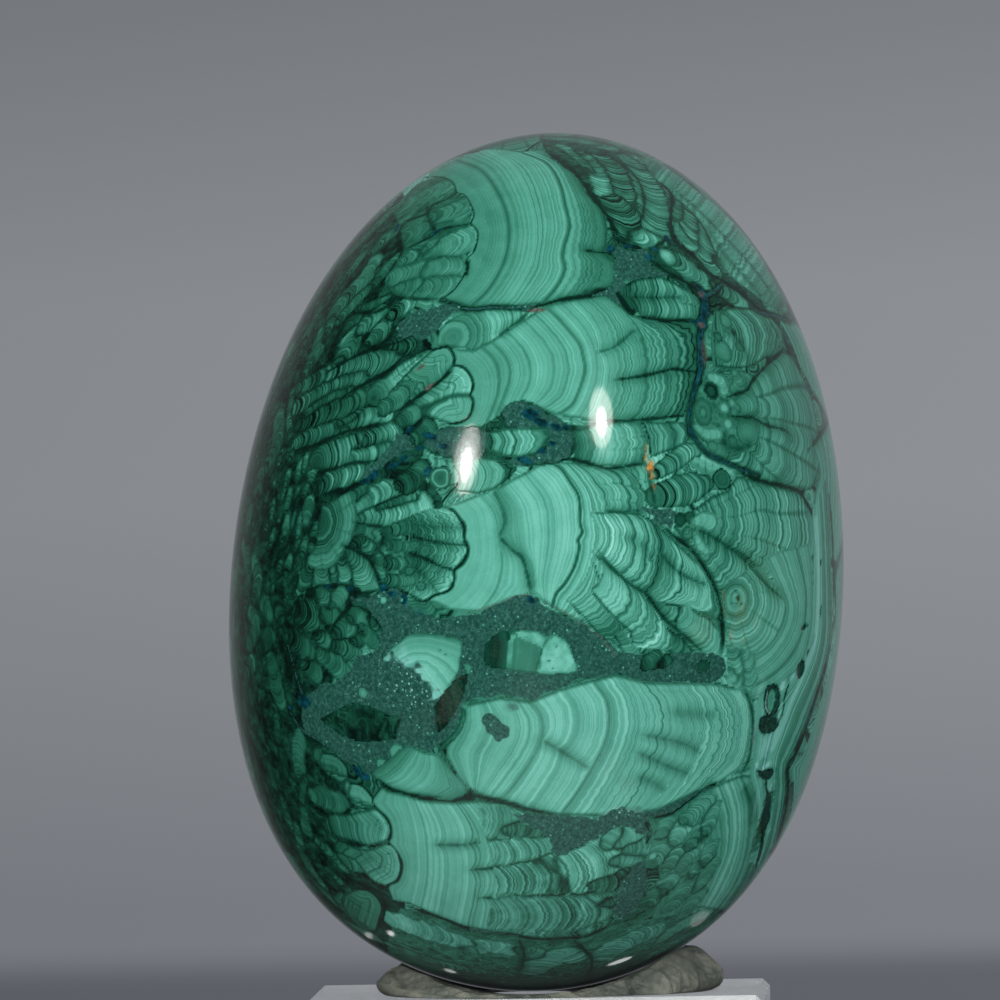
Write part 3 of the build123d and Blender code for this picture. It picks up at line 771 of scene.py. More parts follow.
def paint_top(st):
    """Shoulder: lobed cluster on the left, one wide fan, and columns down the right."""
    f = st.finger
    st.area([(392, 210), (415, 186), (430, 179), (443, 177), (452, 183), (456, 193), (465, 198), (472, 212), (470, 224), (476, 236), (473, 250), (466, 258), (465, 275), (454, 290), (440, 299), (424, 300), (404, 298), (388, 292), (386, 276), (398, 262), (402, 240), (398, 222)], 0.30, 0.12)
    st.bundle(
        [
            ([(396, 210, 8), (416, 200, 11), (434, 191, 12), (446, 187, 10)], (0.32, 0.47), 0.13),
            ([(432, 218, 7), (446, 213, 11), (457, 210, 12), (461, 210, 11)], (0.34, 0.47), 0.15),
            ([(408, 236, 8), (417, 231, 11), (424, 227, 8)], (0.32, 0.4), 0.12),
            ([(430, 250, 7), (446, 246, 10), (460, 242, 14), (464, 241, 13)], (0.42, 0.56), 0.16),
            ([(407, 259, 6), (414, 255, 8), (420, 251, 7)], (0.44, 0.5), 0.2),
            ([(420, 251, 6), (431, 247, 7)], (0.38, 0.44), 0.14),
            ([(396, 277, 8), (410, 272, 10), (418, 270, 9)], (0.4, 0.5), 0.18),
            ([(424, 270, 7), (440, 268, 9), (453, 268, 10), (457, 268, 10)], (0.44, 0.52), 0.13),
            ([(394, 291, 6), (406, 287, 9), (414, 285, 9)], (0.34, 0.42), 0.12),
            ([(424, 289, 8), (438, 286, 9), (446, 285, 11)], (0.42, 0.5), 0.18),
        ],
        fill=1.6,
        line=(0.6, 2.0),
        ring=[(392, 210), (415, 186), (430, 179), (443, 177), (452, 183), (456, 193), (465, 198), (472, 212), (470, 224), (476, 236), (473, 250), (466, 258), (465, 275), (454, 290), (440, 299), (424, 300), (404, 298), (388, 292), (386, 276), (398, 262), (402, 240), (398, 222)],
        rim=0.3,
    )
    for line, w, dark in (
        ([(455, 194), (445, 200), (433, 205), (427, 213), (418, 217), (404, 222)], 2.2, 0.8),
        ([(470, 224), (458, 226), (446, 228), (438, 231), (430, 237), (418, 243), (406, 249)], 2.2, 0.75),
        ([(466, 258), (452, 257), (438, 257), (424, 260), (412, 264), (398, 266)], 1.5, 0.5),
        ([(454, 277), (442, 276), (430, 277), (422, 284), (420, 294)], 1.5, 0.5),
        ([(427, 205), (428, 216), (432, 226), (437, 232)], 2.2, 0.7),
        ([(388, 292), (402, 298), (420, 299), (432, 300)], 2.2, 0.7),
        ([(404, 222), (398, 236), (402, 250), (396, 262), (386, 276)], 2.6, 0.75),
    ):
        st.crack(line, w, dark, 0, halo=4)
    st.spot(397, 228, 4, 8, "blue", 0.8)
    st.spot(436, 232, 6, 3, "blue", 0.8, -30)
    st.fan(
        [
            (0.53, 0.95, [(424, 178), (436, 177), (443, 178), (452, 183), (456, 193, 1), (465, 197), (473, 213), (470, 224, 1), (477, 233), (474, 250), (466, 258, 1), (465, 272), (454, 289), (440, 300)]),
            (0.54, 0.0, [(446, 166), (476, 177), (494, 203), (501, 232), (495, 262), (478, 288), (460, 303)]),
            (0.56, 0.35, [(456, 160), (483, 172), (503, 203), (509, 232), (504, 262), (488, 290), (470, 307)]),
            (0.62, 0.0, [(486, 149), (512, 165), (528, 195), (535, 230), (531, 262), (516, 290), (502, 308)]),
            (0.62, 0.4, [(520, 152), (546, 163), (559, 182), (565, 206), (569, 226), (564, 245), (562, 257), (564, 270), (556, 287), (542, 303)]),
            (0.54, 0.0, [(535, 150), (560, 162), (574, 184), (584, 206), (588, 230), (586, 250), (590, 266), (586, 282), (572, 298)]),
            (0.32, 0.0, [(548, 150), (572, 163), (584, 190), (602, 208), (607, 230), (606, 250, 1), (615, 262), (618, 274), (611, 287), (590, 296)]),
        ],
        amp=(0.03, 0.27),
        depth=(0.0, 2.0),
        width=12,
        late=(0.55, 0.95),
        edge=(0.5, 4.0),
        crack=0.25,
    )
    st.crack([(612, 254), (598, 252), (584, 250)], 2.2, 0.85, 4.0)
    st.crack([(467, 261), (468, 268), (466, 276)], 3.4, 0.95, 0, halo=3)
    # right shoulder: dark ground and lumpy columns that run down to the right
    st.area([(540, 128), (600, 128), (700, 170), (770, 250), (812, 330), (790, 322), (760, 312), (740, 306), (716, 300), (706, 290), (690, 284), (668, 276), (650, 262), (626, 250), (614, 240), (606, 214), (588, 188), (566, 164), (546, 152)], 0.16, 0.2)
    st.bundle(
        [
            ([(548, 138, 5), (580, 141, 8), (612, 149, 10), (640, 160, 10)], (0.34, 0.43), 0.22),
            ([(610, 142, 6), (646, 156, 9), (678, 178, 10), (704, 204, 10), (724, 234, 10), (738, 262, 9)], (0.36, 0.49), 0.25),
            ([(690, 178, 7), (718, 208, 10), (742, 244, 11), (762, 282, 10), (778, 310, 8)], (0.38, 0.51), 0.22),
            ([(560, 145, 4), (574, 153, 5), (586, 163, 5), (594, 172, 4)], (0.50, 0.47), 0.25),
            ([(578, 152, 6), (594, 166, 8), (603, 181, 9), (606, 191, 9)], (0.26, 0.59), 0.34),
            ([(596, 152, 7), (610, 163, 9), (618, 178, 10), (622, 192, 11)], (0.24, 0.39), 0.36),
            ([(614, 200, 10), (624, 214, 13), (630, 228, 11)], (0.26, 0.41), 0.40),
            ([(622, 152, 8), (640, 172, 10), (650, 192, 12), (656, 212, 13), (655, 228, 12)], (0.38, 0.49), 0.34),
            ([(634, 232, 9), (644, 237, 11), (654, 238, 9)], (0.54, 0.67), 0.28),
            ([(652, 168, 6), (668, 184, 8), (676, 200, 8), (677, 214, 7)], (0.32, 0.45), 0.25),
            ([(676, 180, 7), (688, 202, 10), (692, 222, 11), (690, 238, 10)], (0.34, 0.49), 0.34),
            ([(676, 228, 8), (684, 235, 10), (690, 242, 9)], (0.44, 0.73), 0.28),
            ([(690, 194, 7), (702, 218, 11), (707, 240, 12), (706, 256, 11), (712, 266, 9)], (0.36, 0.53), 0.36),
            ([(672, 258, 9), (688, 270, 10), (702, 280, 9), (708, 285, 6)], (0.34, 0.59), 0.34),
            ([(716, 260, 8), (732, 270, 11), (746, 282, 11), (758, 296, 8)], (0.36, 0.57), 0.31),
            ([(746, 284, 8), (762, 298, 9), (776, 311, 7)], (0.38, 0.57), 0.28),
            ([(712, 286, 5), (723, 290, 8), (736, 298, 8), (748, 306, 5)], (0.28, 0.57), 0.31),
        ],
        fill=1.5,
        line=(0.9, 2.2),
        soft=0.4,
        rim=0.6,
    )
    # paler columns along the rim
    st.fan(
        [
            (0.42, 0.0, [(660, 166), (654, 174), (648, 184)]),
            (0.52, 0.0, [(688, 186), (676, 202), (664, 218)]),
            (0.58, 0.0, [(716, 208), (704, 226), (690, 246)]),
            (0.60, 0.0, [(740, 234), (728, 254), (712, 272)]),
            (0.56, 0.0, [(762, 264), (752, 280), (738, 296)]),
            (0.48, 0.0, [(782, 298), (774, 308), (764, 318)]),
        ],
        amp=0.24,
        depth=(1.2, 2.2),
        width=13,
        late=(0.0, 0.4),
        ring=[(640, 156), (664, 166), (692, 187), (724, 213), (752, 244), (776, 284), (788, 312), (772, 308), (756, 296), (740, 284), (724, 268), (713, 248), (705, 230), (694, 214), (680, 201), (664, 188), (650, 172)],
        edge=(0.4, 4.0),
        crack=0.4,
    )
    st.crack([(774, 296), (750, 264), (722, 234), (696, 208), (672, 188)], 1.6, 0.55, 3)
    st.crack([(764, 300), (744, 276), (724, 254), (708, 228)], 1.5, 0.5, 3)
    st.nodule(668, 257, 12, tone=(0.62, 0.5), amp=0.12, line=(0.85, 3.4))
    st.spot(665, 254, 6, 6, "tone", 0.18, soft=0.9)
    st.crack([(548, 152), (562, 163), (576, 174), (588, 190), (600, 206), (611, 222), (617, 233)], 5.0, 0.88, 0, halo=7)
    st.crack([(600, 152), (622, 164), (638, 180), (644, 198), (643, 214), (638, 226)], 3.0, 0.75, 0)
    st.crack([(652, 176), (664, 186), (672, 196), (671, 212), (671, 228), (676, 242), (690, 252), (700, 262), (712, 275), (724, 282), (738, 291), (750, 301), (762, 311), (780, 317)], 4.0, 0.9, 0)
    st.crack([(680, 206), (690, 212), (700, 222), (708, 236), (714, 250), (724, 266)], 2.4, 0.7, 0)
    st.crack([(655, 262), (664, 270), (678, 278), (692, 286), (702, 292)], 2.6, 0.8, 0)
    st.crack([(612, 238), (622, 242), (634, 247), (648, 249), (660, 244), (668, 236)], 3.0, 0.85, 0)
    st.matrix([(615, 237), (624, 249), (648, 251), (649, 265), (668, 275), (649, 277), (629, 280), (620, 289), (612, 288), (616, 263)], 1.0)
    for x, y, rx, ry in ((611, 249, 4, 5), (667, 239, 4, 5), (649, 257, 4, 5), (628, 246, 5, 2.5), (655, 249, 4, 3)):
        st.spot(x, y, rx, ry, "blue", 0.95)
    # fan above the vein
    st.fan(
        [
            (0.22, 0.0, [(622, 287), (624, 296), (631, 306)]),
            (0.46, 0.0, [(636, 279), (642, 297), (642, 317)]),
            (0.62, 0.0, [(660, 276), (668, 297), (668, 320)]),
            (0.52, 0.0, [(677, 284), (684, 297), (686, 320)]),
            (0.34, 0.0, [(694, 294), (702, 306), (696, 320)]),
        ],
        amp=0.34,
        depth=(2, 4),
        width=24,
        edge=(0.8, 5.0),
    )
    st.crack([(630, 297), (650, 298), (682, 297)], 1.4, 0.7, 5)
    st.spot(701, 294, 4, 3, "warm", 0.9)
    st.spot(701, 325, 4, 3, "warm", 0.9)


def paint_middle(st):
    """Upper middle: a smooth dome, a wide pale fan and fine columns up to the vein."""
    # dome
    st.radial((452, 338), [(436, 345), (440, 330), (452, 318), (468, 312), (480, 312), (492, 308), (527, 310), (519, 321), (501, 335), (492, 342), (484, 345), (474, 350), (456, 347)], tone=(0.46, 0.7), reach=60, turn=0.6, depth=(0, 2.5), amp=0.22, edge=(0.4, 3.5), crack=0.15)
    # main fan
    st.fan(
        [
            (0.60, 0.95, [(440, 348), (448, 347), (454, 356), (454, 365, 1), (464, 368), (471, 377), (473, 386), (470, 395, 1), (473, 402), (470, 415), (461, 422), (449, 424)]),
            (0.60, 0.0, [(474, 350), (488, 364), (494, 380), (492, 400), (484, 418), (474, 428)]),
            (0.60, 0.3, [(481, 346), (494, 359), (499, 374), (498, 392), (492, 410), (484, 428)]),
            (0.62, 0.3, [(491, 341), (502, 352), (509, 364), (510, 378), (505, 394), (497, 414), (491, 428)]),
            (0.66, 0.0, [(512, 328), (530, 350), (536, 370), (533, 388), (524, 402)]),
            (0.68, 0.5, [(545, 306), (558, 318), (572, 334), (580, 345), (583, 356), (585, 369), (582, 382), (574, 402), (564, 411), (555, 415)]),
            (0.62, 0.0, [(580, 299), (598, 318), (606, 338), (612, 356), (612, 380), (606, 402), (596, 422)]),
            (0.58, 0.0, [(606, 295), (626, 312), (640, 332), (646, 356), (648, 380), (644, 402), (634, 421)]),
            (0.48, 0.0, [(634, 316), (660, 322), (674, 340), (678, 360), (676, 384), (672, 404), (664, 418)]),
            (0.26, 0.0, [(662, 319), (692, 322), (700, 342), (700, 366), (693, 388), (688, 404), (684, 416)]),
        ],
        amp=(0.04, 0.30),
        depth=(0.0, 2.0),
        width=12,
        late=(0.45, 0.75),
        edge=(0.5, 4.5),
        crack=0.3,
    )
    # lobes of the cluster left of it
    st.lobe([(432, 350), (440, 348), (448, 347), (454, 356), (454, 365)], [(440, 381), (422, 394), (399, 409), (386, 410), (386, 398), (402, 378), (418, 362)], (0.58, 0.36), reach=60, amp=0.26, depth=0.8, width=13)
    st.lobe([(454, 365), (464, 368), (471, 377), (473, 386), (470, 395)], [(452, 396), (432, 404), (418, 408), (414, 402), (422, 394), (440, 381)], (0.74, 0.44), reach=50, amp=0.22, depth=0.8)
    st.lobe([(470, 395), (473, 402), (470, 415), (461, 422), (449, 424)], [(436, 420), (424, 412), (432, 404), (452, 396)], (0.70, 0.42), reach=40, amp=0.22, depth=0.8)
    st.crack([(399, 409), (422, 394), (440, 381), (453, 368)], 3.0, 0.95, 2)
    for x, y, rx in ((421, 367, 5), (429, 387, 6)):
        st.spot(x, y, rx, 2.2, "warm", 0.8, -35)
    st.bundle(
        [
            ([(384, 408, 8), (398, 398, 9), (408, 388, 8)], (0.24, 0.44)),
            ([(404, 420, 8), (413, 414, 9)], (0.22, 0.4)),
            ([(418, 436, 8), (428, 429, 9)], (0.12, 0.3)),
            ([(404, 484, 9), (416, 476, 11), (422, 468, 9)], (0.12, 0.28)),
        ],
        fill=1.2,
        line=(0.7, 2.0),
        rim=0.5,
    )
    # creases and joints
    st.crack([(499, 337), (508, 328), (519, 321), (528, 312)], 1.6, 0.85, 2.5)
    st.crack([(700, 372), (694, 372), (676, 369), (664, 371), (642, 376), (614, 380)], 2.2, 0.9, 4.5)
    st.crack([(598, 352), (612, 348), (623, 340), (634, 330)], 1.3, 0.7, 4.5, shade=0.2)
    st.crack([(586, 426), (607, 422), (630, 421), (651, 419), (689, 415)], 2.2, 0.9, 2.5)
    st.crack([(639, 317), (666, 321), (694, 320)], 2.6, 0.9, 2.0)
    # below: dark matrix, small fans, seam to the rusty spot
    st.area([(480, 427), (498, 416), (512, 402), (530, 402), (552, 414), (568, 424), (588, 427), (580, 446), (562, 462), (530, 466), (505, 463), (480, 464), (444, 458), (424, 447), (440, 428), (466, 427)], 0.24, 0.18)
    st.matrix([(424, 446), (432, 436), (446, 430), (470, 428), (486, 431), (487, 447), (470, 461), (448, 456)], 0.8)
    st.matrix([(502, 413), (512, 403), (528, 403), (552, 415), (566, 424), (556, 430), (540, 427), (520, 428), (505, 426)], 0.75, soft=3)
    st.matrix([(548, 431), (560, 428), (574, 432), (571, 446), (566, 459), (545, 461), (520, 465), (510, 462), (530, 455), (546, 446)], 0.85, soft=3)
    for x, y, rx, ry, v in ((508, 414, 7, 6, 0.6), (518, 408, 8, 4, 0.6), (514, 424, 8, 3, 0.7), (566, 440, 4, 8, 0.5)):
        st.spot(x, y, rx, ry, "seam", v, soft=0.8)
    for x, y, rx, ry in ((530, 414, 8, 6), (541, 423, 9, 4), (556, 427, 7, 3), (566, 427, 4, 3), (430, 436, 8, 4), (538, 450, 9, 3.6), (524, 460, 8, 3), (552, 444, 4, 3), (445, 446, 6, 3), (428, 472, 5, 5)):
        st.spot(x, y, rx, ry, "blue", 0.85, 15)
    st.spot(537, 412, 8, 2.4, "tone", 0.3, 35)
    st.fan(
        [
            (0.36, 0.0, [(486, 434), (489, 441), (487, 449)]),
            (0.56, 0.0, [(502, 429), (507, 441), (503, 456)]),
            (0.64, 0.0, [(520, 428), (526, 441), (520, 457)]),
            (0.54, 0.0, [(534, 428), (541, 440), (534, 453)]),
            (0.36, 0.0, [(547, 430), (552, 436), (546, 444)]),
        ],
        amp=0.3,
        depth=(1, 2),
        width=12,
        edge=(0.6, 4.0),
    )
    st.nodule(440, 478, 12, tone=(0.26, 0.52), amp=0.3, line=(0.8, 3.0))
    st.fan(
        [
            (0.5, 0.0, [(452, 466), (458, 478), (454, 492)]),
            (0.66, 0.0, [(476, 458), (484, 474), (478, 494)]),
            (0.56, 0.0, [(494, 460), (501, 472), (494, 489)]),
            (0.28, 0.0, [(508, 463), (517, 467), (510, 479)]),
        ],
        amp=0.26,
        depth=(0.5, 2),
        edge=(0.6, 4.0),
    )
    # right half of that row
    st.fan(
        [
            (0.3, 0.0, [(572, 432), (576, 446), (572, 462)]),
            (0.64, 0.0, [(592, 425), (599, 444), (594, 466)]),
            (0.68, 0.0, [(618, 422), (626, 444), (620, 466)]),
            (0.5, 0.0, [(640, 421), (648, 440), (644, 462)]),
        ],
        amp=0.24,
        depth=(1.5, 3.5),
        width=16,
        edge=(0.6, 4.0),
    )
    st.fan(
        [
            (0.3, 0.0, [(642, 422), (648, 440), (650, 458)]),
            (0.62, 0.0, [(654, 422), (662, 436), (660, 454)]),
            (0.3, 0.3, [(666, 422), (674, 434), (672, 450)]),
            (0.62, 0.0, [(674, 422), (682, 432), (680, 446)]),
            (0.24, 0.0, [(682, 422), (690, 432), (688, 442)]),
        ],
        amp=0.3,
        depth=(1, 2),
        edge=(0.6, 4.0),
    )
    st.crack([(519, 457), (545, 461), (570, 459), (602, 467), (616, 468), (640, 464), (650, 466)], 2.4, 0.9, 2)
    st.finger([(654, 474, 7), (670, 464, 10), (686, 453, 9), (696, 450, 7)], tone=(0.4, 0.56), amp=0.36)
    st.finger([(656, 496, 13), (676, 492, 16), (696, 486, 14), (706, 482, 9)], tone=(0.44, 0.42), amp=0.36, bend=1.2)
    for x, y, rx, ry, v in ((650, 466, 3.4, 6, 0.8), (652, 476, 2.4, 4, 0.5), (646, 448, 2.0, 5, 0.35), (654, 486, 2.4, 4, 0.3), (646, 457, 2.4, 5, 0.4)):
        st.spot(x, y, rx, ry, "ochre", v, 10, soft=0.7)
    st.crack([(642, 456), (647, 470), (652, 490), (655, 505)], 2.0, 0.75, 0, shade=0.2)
    st.spot(536, 310, 11, 2.6, "warm", 0.8, -4)


def paint_right(st):
    """Right flank: grouped rosettes beyond the teal vein."""
    st.fan(
        [
            (0.44, 0.0, [(714, 312), (711, 340), (713, 367)]),
            (0.50, 0.0, [(722, 309), (737, 325), (742, 345), (738, 369)]),
            (0.46, 0.0, [(737, 307), (754, 323), (758, 345), (754, 366)]),
            (0.50, 0.0, [(753, 309), (769, 326), (772, 345), (766, 358)]),
            (0.44, 0.0, [(766, 312), (781, 330), (783, 345), (779, 352)]),
        ],
        amp=0.36,
        depth=(1, 2.5),
        width=22,
        edge=(0.7, 4.5),
    )
    for x, y, r, v in ((726, 321, 9, 0.54), (723, 351, 12, 0.54), (718, 337, 6, 0.4), (740, 347, 6, 0.46)):
        st.nodule(x, y, r, tone=(v, v - 0.06), amp=0.1, line=(0.4, 4.0))
    st.spot(733, 332, 5, 4, "seam", 0.75, 30)
    st.crack([(724, 330), (736, 338), (746, 352), (748, 368)], 1.6, 0.6, 0)
    st.fan(
        [
            (0.54, 0.0, [(778, 318), (790, 340), (800, 366)]),
            (0.60, 0.0, [(790, 322), (804, 352), (812, 390)]),
            (0.62, 0.0, [(802, 330), (818, 370), (828, 420)]),
        ],
        amp=0.16,
        depth=(0, 1),
        edge=(0.3, 4.0),
    )
    # rosette
    ring = [(693, 408), (697, 392), (704, 380), (716, 372), (740, 370), (756, 374), (772, 360), (786, 352), (800, 372), (812, 400), (818, 430), (820, 460), (812, 488), (796, 488), (770, 482), (744, 472), (722, 458), (700, 438), (692, 426)]
    st.radial((703, 412), ring, tone=(0.40, 0.52), reach=90, depth=(0.5, 6.5), turn=0.34, amp=0.27, edge=(0.55, 5), crack=0.4)
    st.area([(694, 424), (693, 404), (700, 386), (714, 374), (728, 378), (742, 374), (748, 384), (744, 392), (732, 398), (740, 404), (748, 412), (744, 420), (756, 430), (752, 446), (738, 452), (722, 450), (706, 440)], 0.40, 0.12)
    for spine, v, am in (
        ([(711, 377, 6), (721, 382, 8), (725, 393, 6)], (0.6, 0.7), 0.16),
        ([(735, 374, 7), (739, 384, 9), (734, 392, 7)], (0.5, 0.48), 0.2),
        ([(697, 427, 5), (707, 434, 7), (718, 434, 6)], (0.6, 0.64), 0.1),
        ([(738, 408, 9), (750, 402, 12)], (0.48, 0.5), 0.2),
        ([(712, 446, 6), (724, 452, 8)], (0.44, 0.46), 0.14),
    ):
        st.finger(spine, tone=v, amp=am, line=(0.4, 3.5), pinch=0.2)
    for x, y, r, v, o in ((711, 391, 9, 0.22, 1.0), (703, 413, 11, 0.42, 1.35), (703, 413, 5, 0.52, 1.4), (748, 432, 15, 0.48, 1.0), (733, 442, 7, 0.42, 1.0), (724, 408, 6, 0.74, 1.0), (732, 403, 5, 0.66, 1.0), (728, 424, 6, 0.7, 1.0), (734, 413, 4, 0.62, 1.0)):
        st.nodule(x, y, r, tone=(v, v - 0.05), amp=0.12, line=(0.4, 3.5), oval=o)
    st.crack([(720, 440), (730, 448), (742, 448), (752, 442)], 1.6, 0.6, 0)
    st.crack([(722, 399), (736, 394), (747, 390), (753, 380), (766, 366), (779, 354), (784, 348)], 2.2, 0.9, 6)
    st.crack([(728, 416), (741, 417), (753, 418), (766, 425), (784, 430), (792, 436)], 2.0, 0.85, 6)
    # fan below the seam
    st.radial((684, 522), [(674, 528), (680, 514), (690, 512), (711, 497), (727, 490), (737, 477), (752, 480), (770, 485), (786, 489), (800, 494), (810, 508), (818, 526), (822, 552), (818, 572), (806, 598), (790, 606), (764, 600), (742, 590), (728, 588), (718, 590), (711, 576), (700, 559), (687, 544)], tone=(0.46, 0.56), reach=110, depth=(0.5, 4), turn=0.26, amp=0.3, edge=(0.6, 5), crack=0.3)
    for x, y, r, v in ((680, 520, 7, 0.2), (690, 517, 6, 0.24), (688, 533, 7, 0.44), (687, 532, 3, 0.6)):
        st.nodule(x, y, r, tone=(v, v), amp=0.08, line=(0.55, 3.0))
    st.finger([(694, 522, 5), (703, 520, 9), (709, 522, 10)], tone=(0.62, 0.7), amp=0.12, line=(0.5, 3.0), pinch=0.1)
    st.finger([(697, 537, 4), (701, 546, 6), (706, 551, 5)], tone=(0.74, 0.7), amp=0.12, line=(0.5, 3.0), pinch=0.1)
    st.crack([(696, 529), (711, 536), (729, 547), (746, 557), (762, 573)], 1.8, 0.75, 6)
    st.nodule(722, 479, 11, tone=(0.32, 0.28), amp=0.14)
    # lower fan with olive eye, and smooth bands round it
    st.fan(
        [
            (0.56, 0.0, [(764, 560), (780, 590), (785, 606), (782, 624), (773, 640), (759, 652), (742, 655)]),
            (0.64, 0.0, [(778, 552), (791, 588), (796, 610), (791, 632), (779, 652), (764, 668), (744, 678)]),
            (0.62, 0.35, [(796, 548), (805, 588), (805, 616), (799, 640), (787, 660), (770, 676), (746, 690)]),
            (0.60, 0.0, [(810, 544), (813, 588), (812, 622), (808, 645), (800, 668), (785, 682), (768, 692), (750, 699)]),
        ],
        amp=0.16,
        depth=(0.3, 1.2),
        width=24,
        edge=(0.2, 3.0),
        crack=0.15,
    )
    st.radial((736, 600), [(722, 592), (728, 583), (742, 574), (756, 566), (768, 578), (780, 590), (786, 606), (783, 624), (774, 640), (762, 652), (748, 656), (735, 652), (728, 636), (724, 614)], tone=(0.56, 0.62), reach=48, depth=(0.3, 2.4), turn=0.5, amp=0.26, edge=(0.3, 4), crack=0.25)
    st.bundle(
        [
            ([(732, 644, 6), (735, 656, 8), (738, 668, 8)], (0.5, 0.58), 0.22),
            ([(744, 652, 6), (748, 665, 8), (750, 680, 8)], (0.54, 0.6), 0.18),
            ([(731, 674, 6), (738, 684, 7)], (0.56, 0.6), 0.14),
        ],
        fill=1.5,
        line=(0.5, 2.0),
        rim=0.2,
        ring=[(726, 644), (740, 648), (752, 652), (760, 668), (758, 684), (751, 697), (738, 692), (729, 680)],
    )
    st.nodule(735, 598, 6, tone=(0.66, 0.6), amp=0.1, line=(0.5, 2.2), oval=1.3)
    st.spot(738, 598, 2.6, 2.6, "seam", 0.8)
    st.spot(741, 604, 1.8, 1.6, "seam", 0.6)
    st.stroke([(724, 590), (724, 603), (727, 617)], 2.4, "ochre", 0.2)
    st.stroke([(776, 542), (781, 558), (783, 576)], 3.0, "ochre", 0.1)
    for x, y, rx, ry, v in ((731, 636, 5, 7, 0.22), (745, 640, 8, 5, 0.14), (757, 622, 8, 16, 0.14), (778, 600, 16, 40, 0.10), (742, 612, 12, 22, 0.16), (770, 548, 9, 22, 0.10)):
        st.spot(x, y, rx, ry, "ochre", v, soft=0.9)
    st.crack([(722, 545), (740, 556), (755, 571), (768, 586), (784, 600)], 1.8, 0.75, 3)
    # bands along the rim
    st.fan(
        [
            (0.58, 0.0, [(813, 444), (820, 472), (814, 500), (820, 530), (822, 560)]),
            (0.60, 0.3, [(825, 428), (830, 470), (830, 510), (830, 560)]),
            (0.66, 0.8, [(836, 402), (842, 452), (843, 520), (842, 570)]),
        ],
        amp=0.2,
        depth=(0, 1),
        edge=(0.8, 5),
    )
    st.crack([(808, 450), (814, 443), (825, 427), (832, 412), (838, 398)], 2.6, 0.85, 4)
    st.crack([(737, 472), (752, 478), (768, 483), (784, 486), (799, 492), (807, 504), (816, 520)], 3.2, 0.95, 3)


